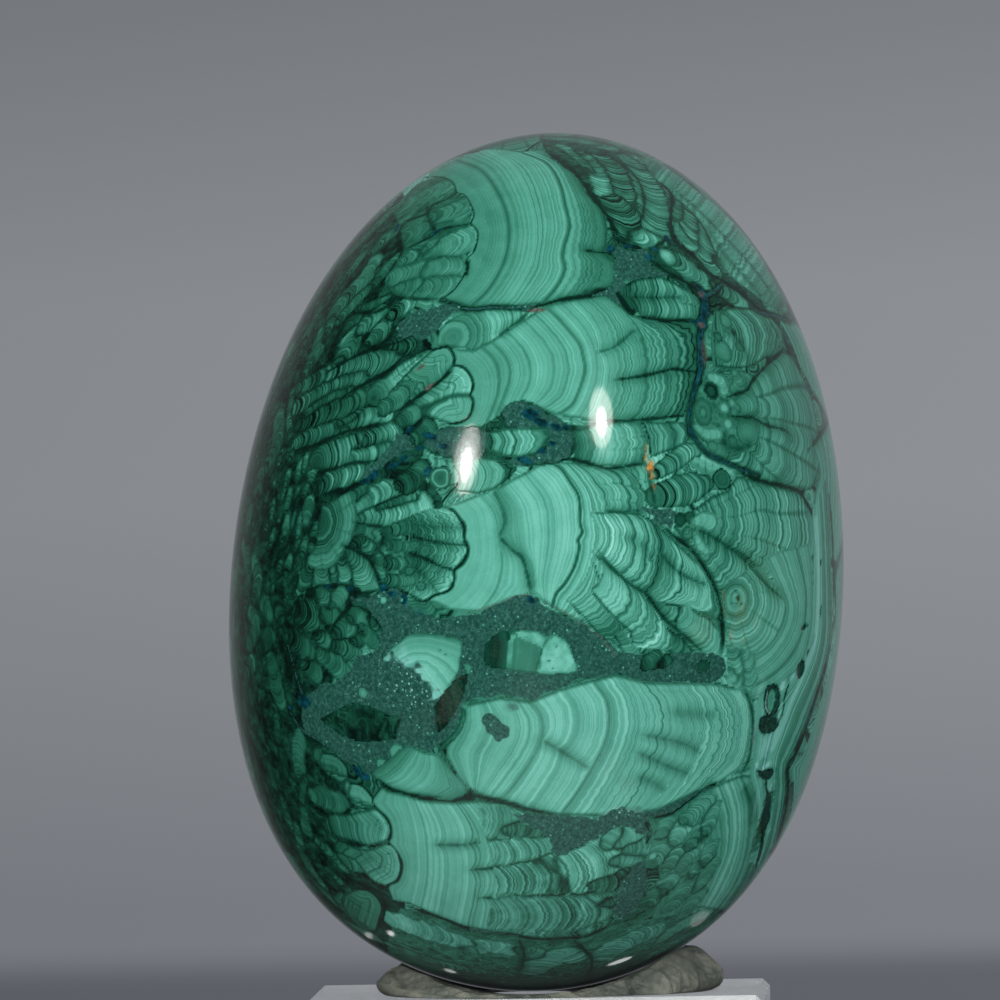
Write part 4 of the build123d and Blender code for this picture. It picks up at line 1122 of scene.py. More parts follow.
def paint_big(st):
    """The big pale fan across the middle, its lobed root on the left and its columns on the right."""
    st.fan(
        [
            (0.68, 1.0, [(444, 508), (452, 510), (459, 518), (464, 527), (464, 538), (468, 550), (463, 562), (454, 570, 1), (454, 580), (449, 590), (435, 595), (424, 601), (413, 597), (407, 587)]),
            (0.70, 0.0, [(470, 498), (482, 512), (486, 540), (484, 566), (474, 590), (450, 610)]),
            (0.72, 0.25, [(480, 494), (494, 512), (500, 540), (502, 566), (496, 590), (480, 612)]),
            (0.76, 0.0, [(492, 491), (508, 510), (516, 545), (522, 572), (516, 592), (505, 601)]),
            (0.74, 0.0, [(494, 490), (512, 508), (524, 545), (531, 574), (530, 588), (526, 594)]),
        ],
        amp=0.07,
        depth=(0, 1.5),
        width=34,
        edge=(0.45, 4.0),
        crack=0.15,
    )
    st.fan(
        [
            (0.62, 0.0, [(492, 491), (503, 511), (504, 523), (499, 536), (512, 550), (522, 557), (527, 574), (531, 590)]),
            (0.66, 0.0, [(502, 485), (516, 505), (520, 530), (524, 550), (534, 566), (536, 594)]),
            (0.80, 0.0, [(512, 479), (530, 502), (536, 530), (536, 552), (536, 580), (540, 600)]),
            (0.68, 0.0, [(526, 472), (546, 500), (550, 530), (548, 556), (544, 580), (546, 604)]),
            (0.80, 0.0, [(536, 466), (558, 490), (566, 520), (564, 550), (556, 578), (550, 606)]),
            (0.74, 0.7, [(548, 461), (561, 469), (570, 482), (578, 495), (580, 509), (580, 523), (582, 532), (578, 540), (579, 548), (574, 567), (565, 583), (556, 594), (552, 608)]),
            (0.64, 0.0, [(572, 462), (588, 480), (600, 505), (604, 535), (602, 560), (594, 586), (580, 608), (570, 618)]),
            (0.66, 0.0, [(600, 468), (618, 482), (628, 510), (632, 545), (630, 578), (618, 606), (600, 632)]),
            (0.56, 0.0, [(630, 468), (645, 490), (650, 512), (660, 545), (664, 580), (650, 612), (618, 648)]),
            (0.52, 0.0, [(656, 508), (664, 526), (680, 552), (692, 584), (692, 618), (676, 646), (640, 664)]),
            (0.46, 0.0, [(662, 524), (674, 536), (690, 547), (699, 557), (707, 570), (713, 582), (718, 595), (722, 613), (723, 639), (720, 656), (690, 660), (660, 668)]),
        ],
        amp=(0.07, 0.42),
        depth=(0.0, 4.2),
        width=15,
        fine=0.4,
        late=(0.36, 0.72),
        edge=(0.5, 5.0),
        crack=0.34,
    )
    # columns at its right
    st.fan(
        [
            (0.72, 0.0, [(590, 512), (598, 530), (597, 544), (592, 552)]),
            (0.70, 0.0, [(616, 512), (624, 531), (621, 551), (613, 563), (606, 566)]),
            (0.60, 0.0, [(638, 513), (647, 532), (647, 556), (639, 575), (627, 583)]),
            (0.46, 0.3, [(652, 520), (662, 540), (661, 563), (654, 583), (646, 593)]),
            (0.66, 0.0, [(667, 534), (678, 555), (676, 579), (668, 595), (656, 603)]),
            (0.62, 0.0, [(684, 550), (694, 572), (692, 590), (683, 602), (669, 605)]),
            (0.64, 0.0, [(698, 564), (708, 584), (706, 600), (698, 610), (684, 606)]),
            (0.50, 0.0, [(709, 580), (718, 600), (719, 613), (712, 619), (700, 613)]),
        ],
        amp=0.34,
        depth=(0.8, 1.6),
        width=13,
        fine=0.7,
        late=(0.0, 0.6),
        edge=(0.8, 3.4),
        crack=0.4,
    )
    st.crack([(707, 585), (694, 580), (680, 573), (668, 562), (660, 552)], 1.6, 0.75, 5)
    st.crack([(652, 560), (644, 548), (634, 540), (622, 536)], 1.0, 0.4, 4)
    st.fan(
        [
            (0.70, 0.0, [(592, 556), (588, 572), (578, 588), (566, 600)]),
            (0.64, 0.0, [(602, 586), (600, 600), (591, 609), (580, 614)]),
            (0.50, 0.0, [(612, 604), (610, 617), (602, 624), (592, 627)]),
            (0.34, 0.0, [(624, 620), (623, 632), (615, 639), (604, 640)]),
        ],
        amp=0.34,
        depth=(0.8, 1.6),
        width=12,
        fine=0.7,
        edge=(0.75, 3.0),
        crack=0.4,
    )
    st.fan(
        [
            (0.70, 0.0, [(598, 552), (603, 566), (599, 580), (590, 590)]),
            (0.66, 0.0, [(614, 568), (618, 584), (613, 598), (603, 606)]),
            (0.58, 0.0, [(627, 581), (633, 597), (628, 611), (616, 620)]),
            (0.68, 0.0, [(641, 592), (648, 608), (644, 623), (630, 632)]),
            (0.70, 0.0, [(654, 606), (662, 624), (658, 639), (645, 647), (632, 648)]),
            (0.50, 0.0, [(667, 623), (673, 638), (668, 650), (654, 657), (640, 658)]),
        ],
        amp=0.34,
        depth=(0.8, 1.6),
        width=13,
        fine=0.7,
        late=(0.0, 0.6),
        edge=(0.8, 3.4),
        crack=0.4,
    )
    st.bundle(
        [
            ([(652, 601, 7), (664, 608, 9), (675, 614, 8)], (0.26, 0.6), 0.24),
            ([(682, 616, 10), (696, 630, 15), (709, 643, 15), (717, 654, 10)], (0.58, 0.68), 0.2),
            ([(620, 632, 6), (629, 644, 8), (634, 655, 8)], (0.4, 0.6), 0.2),
            ([(664, 634, 6), (674, 644, 8), (684, 652, 7)], (0.36, 0.44), 0.2),
            ([(650, 652, 6), (662, 656, 7)], (0.4, 0.5), 0.2),
        ],
        fill=1.25,
        line=(0.9, 2.2),
        bend=1.1,
        rim=0.75,
        ring=[(646, 595), (660, 603), (672, 606), (686, 606), (700, 613), (712, 619), (719, 614), (723, 640), (720, 658), (700, 657), (676, 656), (655, 661), (636, 664), (622, 656), (612, 642), (622, 630), (634, 646), (650, 648), (668, 650), (672, 638), (662, 620)],
    )
    st.spot(702, 632, 17, 15, "ochre", 0.12, 40, soft=0.7)
    st.spot(648, 578, 74, 44, "tone", 0.035, 44, soft=0.9)
    # its lobed root
    front = [(444, 508), (452, 510), (459, 518), (464, 527), (464, 538), (468, 550), (463, 562), (454, 570, 1), (454, 580), (449, 590), (435, 595), (424, 601), (413, 597)]
    st.fan(
        [
            (0.30, 0.0, [(396, 522), (403, 540), (402, 562), (396, 584)]),
            (0.40, 0.0, [(413, 514), (424, 534), (424, 560), (404, 590)]),
            (0.54, 0.0, [(430, 509), (445, 530), (445, 560), (416, 597)]),
            (0.68, 0.0, front),
        ],
        amp=0.32,
        depth=(1.2, 3.0),
        width=12,
        fine=0.8,
        late=(0.0, 0.5),
        edge=(0.0, 3.0),
        crack=0.5,
    )
    st.bundle(
        [
            ([(392, 530, 5), (402, 528, 6), (411, 527, 6)], (0.3, 0.42), 0.24),
            ([(390, 546, 5), (400, 546, 6), (409, 548, 6)], (0.28, 0.4), 0.24),
            ([(388, 564, 5), (399, 564, 6), (408, 562, 5)], (0.26, 0.38), 0.24),
            ([(390, 580, 5), (400, 581, 6), (410, 580, 6)], (0.28, 0.4), 0.24),
        ],
        fill=1.2,
        line=(0.8, 2.0),
        rim=0.4,
    )
    st.crack([(467, 545), (448, 544), (430, 541), (410, 536)], 2.2, 0.75, 4)
    st.crack([(454, 570), (440, 566), (424, 558), (406, 552)], 2.6, 0.85, 4)
    st.crack([(464, 528), (446, 527), (428, 526), (410, 524)], 1.6, 0.5, 3)
    st.crack([(438, 594), (430, 582), (420, 572), (410, 566)], 1.8, 0.6, 3)
    for x, y, r in ((425, 551, 6), (414, 545, 5), (409, 571, 6), (421, 586, 5)):
        st.nodule(x, y, r, tone=(0.3, 0.42), amp=0.2, line=(0.6, 2.0))
    st.crack(front, 2.2, 0.95, 0, shade=0.0)
    st.crack([(494, 490), (503, 511), (504, 524), (499, 537)], 1.5, 0.7, 2.0)
    st.crack([(499, 537), (512, 550), (522, 558), (527, 574), (531, 592)], 2.0, 0.8, 3.0)
    st.crack([(641, 511), (622, 511), (605, 511)], 1.6, 0.75, 6)
    st.crack([(705, 655), (695, 645), (680, 632), (667, 621), (656, 608), (646, 594), (631, 585), (618, 574), (606, 562), (598, 550)], 2.2, 0.85, 0)
    st.matrix([(641, 508), (656, 508), (690, 511), (676, 516), (674, 526), (661, 525), (651, 516)], 0.9)
    st.crack([(662, 524), (674, 536), (690, 547), (699, 557), (707, 570), (713, 582), (718, 595), (722, 613), (723, 639), (720, 656)], 3.2, 0.92, 3)


def paint_breccia(st):
    """Dark speckled matrix across the lower middle, with broken pieces of banded stone."""
    # soft dark growths left of it
    f = st.finger
    st.bundle(
        [
            ([(320, 592, 4), (325, 598, 6), (328, 604, 5)], (0.3, 0.44)),
            ([(330, 609, 6), (337, 601, 9), (341, 595, 7)], (0.3, 0.46)),
            ([(322, 618, 5), (329, 613, 8), (335, 610, 6)], (0.26, 0.44)),
            ([(350, 620, 5), (358, 614, 8), (366, 620, 5)], (0.3, 0.48)),
            ([(368, 618, 3), (374, 624, 4), (378, 632, 3)], (0.2, 0.4)),
            ([(338, 632, 6), (346, 627, 9), (352, 632, 7)], (0.26, 0.42)),
            ([(356, 640, 6), (364, 634, 8), (372, 640, 6)], (0.22, 0.38)),
            ([(322, 654, 6), (334, 664, 9), (344, 674, 8)], (0.3, 0.42)),
            ([(336, 646, 6), (348, 650, 8), (356, 654, 6)], (0.22, 0.38)),
            ([(300, 612, 9), (310, 618, 11), (316, 624, 9)], (0.1, 0.28), 0.26),
            ([(318, 634, 6), (326, 642, 7)], (0.14, 0.3)),
            ([(296, 642, 9), (306, 650, 9)], (0.12, 0.3)),
            ([(308, 666, 7), (316, 674, 7)], (0.2, 0.32)),
            ([(270, 612, 7), (266, 606, 8)], (0.3, 0.32), 0.12),
            ([(280, 616, 7), (276, 604, 7)], (0.12, 0.18), 0.12),
            ([(262, 646, 7), (270, 636, 7)], (0.14, 0.22), 0.12),
            ([(270, 660, 7), (275, 680, 9), (281, 702, 7)], (0.26, 0.30), 0.14),
            ([(278, 738, 4), (277, 718, 4)], (0.2, 0.26), 0.12),
            ([(250, 690, 5), (254, 714, 6), (262, 738, 5)], (0.14, 0.18), 0.12),
            ([(286, 684, 4), (290, 700, 4)], (0.12, 0.16), 0.1),
        ],
        amp=0.2,
        fill=1.5,
        line=(0.85, 2.2),
        soft=0.35,
        rim=0.5,
    )
    st.nodule(362, 634, 4, tone=(0.12, 0.2), amp=0.1, line=(0.5, 2.0))
    st.crack([(344, 606), (356, 606), (368, 612), (378, 622), (384, 634)], 2.6, 0.8, 0)
    st.crack([(330, 636), (336, 622), (346, 612), (352, 606)], 3.4, 0.8, 0)
    st.matrix(
        [(322, 684), (338, 680), (352, 668), (354, 657), (368, 655), (380, 645), (382, 633), (392, 618), (405, 610), (440, 618), (460, 615), (481, 612), (499, 604), (512, 597), (531, 594), (545, 606), (577, 621), (601, 636), (618, 650), (640, 655), (672, 654), (700, 652), (722, 656), (724, 676), (704, 686), (688, 682), (668, 685), (649, 683), (616, 673), (598, 679), (581, 679), (563, 687), (540, 696), (533, 701), (521, 697), (497, 696), (469, 701), (462, 710), (462, 719), (457, 727), (437, 746), (425, 752), (405, 746), (371, 773), (363, 766), (345, 761), (335, 752), (324, 742), (306, 729), (301, 715), (306, 698)],
        1.0,
        soft=1.4,
        rough=2.0,
    )
    st.fan(
        [
            (0.56, 0.0, [(466, 638), (440, 630), (410, 630), (392, 642), (376, 664)]),
            (0.62, 0.0, [(464, 656), (440, 647), (416, 644), (398, 652), (384, 670)]),
            (0.76, 0.0, [(454, 680), (440, 664), (424, 656), (404, 660), (392, 676)]),
            (0.80, 0.0, [(446, 696), (434, 680), (424, 668), (412, 672), (400, 690)]),
        ],
        amp=0.1,
        depth=(0, 1),
        ring=[(379, 674), (385, 657), (396, 645), (411, 634), (430, 634), (450, 637), (462, 642), (461, 656), (458, 672), (446, 692), (434, 700), (416, 702), (396, 696), (382, 686)],
        edge=(0.25, 2.0),
        crack=0.0,
    )
    # crystals inside its bend
    st.matrix([(392, 656), (408, 662), (422, 672), (430, 684), (432, 700), (414, 708), (392, 706), (376, 696), (366, 682), (376, 664)], 0.92, soft=11, rough=9)
    # pale spots: paler stone, and where the material paints glints of the crystals
    for x, y, rx, ry, v in ((404, 682, 26, 22, 0.5), (416, 694, 20, 14, 0.6), (388, 668, 16, 14, 0.4), (362, 692, 16, 10, 0.25)):
        st.spot(x, y, rx, ry, "pale", v, soft=0.6)
    st.nodule(363, 693, 5, tone=(0.6, 0.56), amp=0.05, line=(0.3, 2.0))
    # two-tone fragment
    st.fan(
        [
            (0.16, 0.0, [(482, 640), (486, 655), (484, 672)]),
            (0.14, 0.0, [(494, 630), (498, 650), (494, 672)]),
            (0.30, 0.6, [(507, 626), (510, 650), (506, 676)]),
            (0.46, 0.0, [(514, 626), (516, 650), (512, 676)]),
            (0.42, 0.0, [(532, 626), (537, 650), (532, 676)]),
            (0.46, 0.0, [(546, 626), (546, 650), (540, 680)]),
            (0.84, 0.0, [(578, 640), (582, 656), (578, 680)]),
        ],
        amp=0.06,
        depth=(0, 0.8),
        ring=[(484, 644), (499, 632), (515, 630), (535, 631), (549, 637), (554, 634), (567, 642), (573, 656), (577, 671), (554, 674), (525, 672), (489, 667), (484, 662)],
        edge=(0.3, 1.8),
        crack=0.0,
    )
    st.area([(516, 631), (535, 631), (550, 638), (546, 648), (532, 643), (520, 638)], 0.66, 0.05)
    st.area([(542, 650), (549, 637), (554, 634), (567, 642), (573, 656), (577, 671), (554, 674), (537, 672), (540, 660)], 0.76, 0.05)
    st.area([(511, 634), (515, 636), (512, 652), (511, 670), (507, 669), (507, 650)], 0.56, 0.05)
    for x, y, r in ((556, 646, 1.3), (549, 661, 1.5), (553, 668, 1.1), (440, 651, 1.4), (446, 655, 1.1)):
        st.spot(x, y, r, 0.7 * r, "seam", 0.5, 30)
    st.spot(499, 651, 8, 17, "warm", 0.14, soft=0.5)
    for piece in (
        [(484, 644), (499, 632), (515, 630), (535, 631), (549, 637), (554, 634), (567, 642), (573, 656), (577, 671), (554, 674), (525, 672), (489, 667), (484, 662), (484, 644)],
        [(396, 645), (411, 634), (430, 634), (450, 637), (462, 642), (461, 656), (458, 672), (446, 690)],
        [(548, 638), (542, 650), (540, 660), (537, 672)],
    ):
        st.crack(piece, 1.5, 0.45, 0, shade=0.0)
    # brown shard and dark lens
    st.fan(
        [(0.12, 0.0, [(430, 700), (440, 715), (444, 734)]), (0.16, 0.0, [(446, 686), (454, 704), (454, 728)]), (0.12, 0.0, [(464, 672), (468, 690), (464, 712)])],
        amp=0.1,
        ring=[(464, 674), (468, 677), (461, 702), (441, 732), (433, 723), (432, 710), (442, 695), (455, 680)],
        edge=(0.5, 1.6),
        crack=0.0,
    )
    st.spot(449, 704, 13, 26, "warm", 0.26, 28, soft=0.4)
    st.spot(424, 722, 14, 20, "warm", 0.14, 20, soft=0.9)
    st.fan(
        [(0.5, 0, [(462, 664), (464, 670), (466, 676)]), (0.5, 0, [(470, 662), (472, 668), (472, 674)])],
        amp=0.05,
        ring=[(463, 664), (471, 666), (468, 675)],
        edge=(0.2, 1.0),
    )
    st.area([(319, 719), (332, 712), (342, 707), (352, 702), (366, 705), (376, 708), (394, 715), (408, 710), (416, 712), (412, 736), (398, 739), (384, 741), (362, 742), (342, 736), (330, 728)], 0.12, 0.12)
    for spine in ([(353, 704, 1.6), (356, 724, 2.0)], [(387, 720, 1.6), (380, 736, 2.0)], [(331, 722, 1.4), (345, 735, 1.8)]):
        f(spine, tone=(0.16, 0.2), amp=0.06, line=(0.1, 1.6), pinch=0.0)
    st.matrix([(398, 712), (416, 704), (434, 700), (434, 742), (412, 746), (398, 740)], 0.85, soft=6, rough=5)
    st.spot(412, 726, 18, 16, "warm", 0.12, soft=0.9)
    # small growths at its edges
    st.nodule(397, 752, 9, tone=(0.58, 0.62), amp=0.08)
    st.nodule(382, 764, 7, tone=(0.56, 0.58), amp=0.08)
    st.crack([(404, 742), (405, 752), (397, 761), (389, 760), (388, 768), (380, 772), (371, 771)], 2.0, 0.95, 0, halo=3)
    st.nodule(703, 666, 9, tone=(0.24, 0.2), amp=0.06, oval=0.8)
    st.bundle([([(646, 664, 7), (656, 659, 8)], (0.2, 0.34), 0.2), ([(660, 664, 6), (668, 660, 6)], (0.16, 0.26), 0.2)], fill=1.15, line=(0.7, 2.0))
    st.vein([(288, 645, 0.5), (293, 664, 0.5), (298, 682, 0.7), (302, 693, 1.0)], 3.0, blue=0.5)
    st.vein([(290, 712, 0.6), (300, 728), (315, 738), (335, 752, 0.6)], 3.0, blue=0.5)
    st.spot(304, 702, 10, 8, "blue", 0.95)
    st.spot(291, 708, 5, 3, "blue", 0.9)
    st.spot(361, 774, 12, 4.5, "blue", 0.9, 25)
    # rusty film along the top of the matrix
    st.stroke([(466, 614), (490, 606), (505, 600), (520, 596), (530, 594)], 1.6, "warm", 0.45)
    st.stroke([(545, 602), (575, 618), (600, 637), (616, 656)], 1.6, "warm", 0.45)


def paint_low(st):
    """Lower fans, columns and the foot."""
    f = st.finger
    # small fan at the left end
    st.fan(
        [
            (0.44, 0.0, [(374, 776), (384, 770), (398, 756), (406, 748)]),
            (0.66, 0.0, [(384, 784), (400, 778), (412, 764), (418, 752)]),
            (0.70, 0.0, [(408, 794), (426, 784), (434, 768), (432, 754)]),
            (0.50, 0.0, [(450, 800), (462, 795), (460, 782), (442, 756)]),
        ][::-1],
        amp=0.09,
        depth=(0, 1),
        ring=[(371, 773), (388, 760), (406, 746), (425, 752), (438, 755), (452, 771), (466, 786), (464, 794), (453, 799), (427, 796), (399, 791), (382, 782)],
        edge=(0.6, 4.0),
    )
    # lower middle fan
    st.fan(
        [
            (0.62, 0.0, [(462, 705), (456, 728), (446, 750), (452, 766), (464, 784)]),
            (0.76, 0.0, [(500, 697), (512, 712), (514, 735), (506, 752), (494, 770), (478, 794)]),
            (0.74, 0.3, [(530, 701), (541, 715), (543, 733), (538, 748), (528, 766), (512, 788), (500, 801)]),
            (0.80, 0.0, [(562, 688), (574, 706), (576, 726), (570, 744), (560, 762), (546, 786), (530, 809)]),
            (0.72, 0.35, [(592, 680), (606, 700), (609, 722), (604, 744), (592, 768), (576, 794), (560, 815)]),
            (0.78, 0.0, [(616, 674), (632, 698), (636, 722), (630, 748), (618, 774), (604, 798), (592, 816)]),
            (0.68, 0.0, [(648, 682), (664, 702), (668, 725), (662, 752), (650, 778), (638, 798), (624, 814)]),
            (0.74, 0.0, [(686, 682), (702, 704), (706, 728), (700, 752), (688, 776), (674, 794), (656, 811)]),
            (0.74, 0.0, [(720, 683), (736, 706), (739, 728), (734, 752), (722, 771), (704, 788)]),
            (0.62, 0.0, [(742, 690), (750, 705), (750, 730), (742, 764), (722, 780)]),
        ],
        amp=(0.12, 0.28),
        depth=(0.4, 2.4),
        width=17,
        late=(0.3, 0.8),
        edge=(0.65, 5.0),
        crack=0.26,
    )
    st.lobe([(462, 708), (466, 712), (462, 728), (452, 742)], [(440, 752), (440, 746), (456, 728)], (0.5, 0.5), amp=0.1, line=(0.5, 1.5))
    st.matrix([(482, 717), (490, 713), (500, 720), (508, 728), (510, 736), (500, 741), (490, 736), (484, 728)], 0.9, soft=2.6, rough=2.0)
    st.spot(513, 706, 9, 6, "matr", 0.55, soft=0.7)
    st.crack([(588, 768), (574, 759), (556, 748), (542, 740)], 1.5, 0.7, 5)
    st.crack([(700, 752), (684, 744), (660, 738), (642, 734)], 1.6, 0.6, 5)
    st.crack([(690, 774), (672, 768), (650, 758), (636, 752)], 1.6, 0.6, 5)
    st.crack([(664, 790), (652, 782), (636, 776)], 1.4, 0.5, 4)
    st.crack([(716, 716), (694, 714), (672, 712)], 1.2, 0.4, 4)
    for x, y, rx, ry, v in ((607, 712, 3, 26, 0.2), (612, 762, 12, 18, 0.2), (628, 784, 10, 9, 0.24), (640, 762, 10, 6, 0.16)):
        st.spot(x, y, rx, ry, "warm", v, soft=0.9)
    # seam under it
    st.crack([(376, 782), (394, 791), (415, 796), (434, 801), (453, 801), (472, 796), (500, 801), (536, 811), (560, 816)], 4.0, 0.85, 0)
    # lobes on the left
    st.bundle(
        [
            ([(300, 776, 6), (298, 756, 8), (300, 738, 7)], (0.3, 0.4), 0.16),
            ([(302, 801, 4), (304, 779, 5)], (0.22, 0.32), 0.1),
            ([(320, 756, 7), (332, 764, 10), (339, 771, 9)], (0.32, 0.44), 0.2),
            ([(352, 790, 7), (360, 796, 10), (364, 799, 10)], (0.5, 0.58), 0.2),
            ([(314, 796, 7), (328, 800, 10), (340, 804, 10)], (0.28, 0.36), 0.16),
            ([(304, 812, 5), (306, 829, 7)], (0.28, 0.34), 0.14),
            ([(330, 829, 8), (356, 825, 12), (374, 825, 14), (377, 826, 14)], (0.34, 0.62), 0.26),
            ([(346, 862, 9), (368, 862, 14), (384, 864, 16), (386, 864, 16)], (0.36, 0.6), 0.26),
            ([(318, 842, 5), (330, 853, 6), (344, 867, 6)], (0.26, 0.38), 0.2),
            ([(300, 850, 6), (310, 868, 7), (322, 884, 6)], (0.26, 0.34), 0.2),
            ([(322, 822, 4), (334, 838, 5)], (0.22, 0.3), 0.12),
            ([(330, 872, 5), (344, 886, 6), (352, 894, 5)], (0.26, 0.36), 0.2),
            ([(282, 800, 5), (289, 822, 6)], (0.22, 0.3), 0.16),
            ([(266, 756, 5), (274, 784, 6)], (0.16, 0.22), 0.1),
            ([(282, 752, 5), (286, 774, 5)], (0.14, 0.2), 0.1),
            ([(318, 886, 6), (334, 902, 7)], (0.26, 0.34), 0.18),
            ([(296, 826, 5), (300, 842, 6)], (0.24, 0.32), 0.16),
            ([(344, 908, 10), (360, 904, 13), (370, 906, 12)], (0.3, 0.38), 0.16),
            ([(352, 926, 8), (372, 936, 9)], (0.36, 0.42), 0.18),
        ],
        fill=1.45,
        line=(0.92, 2.4),
        soft=0.4,
        rim=0.6,
    )
    for line, w in (
        ([(322, 752), (338, 759), (347, 770), (349, 780)], 2.2),
        ([(350, 783), (362, 786), (372, 797), (375, 808)], 2.2),
        ([(318, 812), (332, 815), (342, 815), (352, 808)], 2.6),
        ([(382, 893), (385, 908), (379, 926)], 2.0),
        ([(356, 846), (368, 845), (380, 843)], 3.6),
        ([(346, 876), (360, 884), (374, 890), (388, 896)], 3.4),
    ):
        st.crack(line, w, 0.93, 0, halo=4)
    st.lobe([(322, 752), (336, 756), (346, 766), (348, 778)], [(336, 775), (324, 770), (319, 760)], (0.46, 0.34), reach=24, amp=0.14, depth=0.6, line=(0.9, 2.0))
    st.lobe([(350, 783), (362, 786), (372, 797), (375, 807)], [(366, 806), (354, 802), (348, 794)], (0.64, 0.44), reach=22, amp=0.16, depth=0.4, line=(0.95, 2.2))
    st.lobe([(376, 808), (386, 818), (391, 830), (388, 841)], [(370, 846), (356, 842), (340, 838), (328, 832), (323, 822), (330, 814), (346, 814), (360, 811)], (0.70, 0.34), reach=54, amp=0.2, depth=0.8, line=(0.95, 2.4))
    st.lobe([(386, 843), (394, 847), (399, 856), (401, 868), (397, 880), (386, 886)], [(375, 882), (366, 874), (356, 862), (345, 856), (335, 850), (338, 840), (352, 846), (368, 849)], (0.70, 0.34), reach=54, amp=0.2, depth=0.8, line=(0.95, 2.4))
    st.lobe([(356, 889), (368, 891), (377, 898), (382, 908), (379, 921), (376, 931)], [(364, 930), (350, 918), (342, 904), (344, 894)], (0.46, 0.34), reach=34, amp=0.1, depth=0.6, line=(0.8, 2.0))
    # fan t
    st.fan(
        [
            (0.62, 0.9, [(380, 788), (372, 800), (376, 808, 1), (388, 820), (391, 834), (388, 842, 1), (398, 854), (402, 866), (398, 880), (388, 886), (392, 900)]),
            (0.68, 0.0, [(404, 794), (412, 820), (416, 848), (416, 876), (410, 904)]),
            (0.72, 0.0, [(424, 800), (436, 824), (440, 850), (440, 880), (434, 914)]),
            (0.70, 0.0, [(452, 802), (466, 824), (472, 850), (472, 885), (464, 926)]),
            (0.64, 0.0, [(482, 800), (500, 820), (508, 850), (506, 890), (498, 932)]),
            (0.52, 0.0, [(512, 806), (536, 825), (550, 852), (552, 892), (544, 938)]),
            (0.48, 0.0, [(540, 814), (562, 826), (590, 845), (596, 890), (584, 936)]),
            (0.34, 0.0, [(560, 818), (600, 822), (640, 838), (642, 870), (612, 924)]),
        ],
        amp=(0.07, 0.34),
        depth=(0.0, 3.2),
        width=17,
        late=(0.4, 0.85),
        edge=(0.6, 5.0),
        crack=0.35,
    )
    st.crack([(479, 842), (463, 845), (435, 845)], 1.6, 0.7, 5)
    st.crack([(553, 858), (549, 859), (521, 863), (493, 868), (470, 870)], 2.2, 0.8, 6)
    st.crack([(612, 890), (598, 892), (549, 895), (510, 897), (480, 898)], 2.4, 0.85, 6)
    st.crack([(556, 842), (530, 838), (508, 836), (488, 832)], 2.0, 0.75, 6)
    st.bundle(
        [
            ([(484, 818, 15), (500, 819, 14)], (0.62, 0.56), 0.2),
            ([(506, 829, 6), (522, 828, 7), (540, 830, 6)], (0.42, 0.36), 0.26),
            ([(482, 852, 11), (504, 853, 10), (530, 850, 9), (546, 846, 7)], (0.64, 0.54), 0.26),
            ([(484, 882, 13), (510, 880, 13), (540, 877, 14), (558, 875, 15)], (0.62, 0.5), 0.3),
            ([(560, 873, 16), (578, 869, 21), (598, 862, 22)], (0.6, 0.7), 0.3),
            ([(490, 914, 16), (510, 915, 17), (545, 915, 18), (578, 913, 18), (600, 909, 13)], (0.58, 0.48), 0.3),
            ([(598, 884, 7), (614, 880, 9), (626, 874, 8)], (0.38, 0.32), 0.24),
            ([(600, 906, 7), (610, 904, 8)], (0.36, 0.4), 0.16),
            ([(606, 846, 9), (614, 838, 10)], (0.58, 0.6), 0.16),
            ([(620, 842, 8), (630, 837, 9)], (0.58, 0.6), 0.16),
            ([(630, 850, 8), (640, 848, 8)], (0.54, 0.56), 0.16),
            ([(612, 862, 8), (624, 860, 9), (634, 861, 7)], (0.52, 0.56), 0.18),
        ],
        fill=1.8,
        line=(0.85, 2.4),
        bend=0.45,
        rim=0.3,
        ring=[(478, 808), (500, 804), (515, 812), (524, 824), (548, 830), (554, 842), (556, 856), (580, 848), (600, 838), (616, 828), (632, 828), (645, 838), (646, 856), (640, 866), (630, 880), (614, 894), (618, 908), (608, 922), (590, 932), (560, 936), (520, 934), (488, 930), (492, 900), (494, 870), (486, 840)],
    )
    st.spot(582, 912, 2.4, 18, "tone", 0.2)
    st.matrix([(508, 812), (562, 816), (600, 817), (619, 808), (639, 817), (650, 834), (638, 832), (624, 826), (607, 832), (580, 846), (556, 858), (552, 842), (542, 832), (521, 822)], 0.95)
    st.spot(622, 814, 18, 6, "seam", 0.5)
    st.spot(622, 814, 16, 6, "pale", 0.5)
    st.matrix([(613, 915), (618, 890), (632, 868), (646, 862), (648, 880), (640, 905), (624, 920)], 0.85)
    st.spot(640, 872, 18, 11, "seam", 0.7)
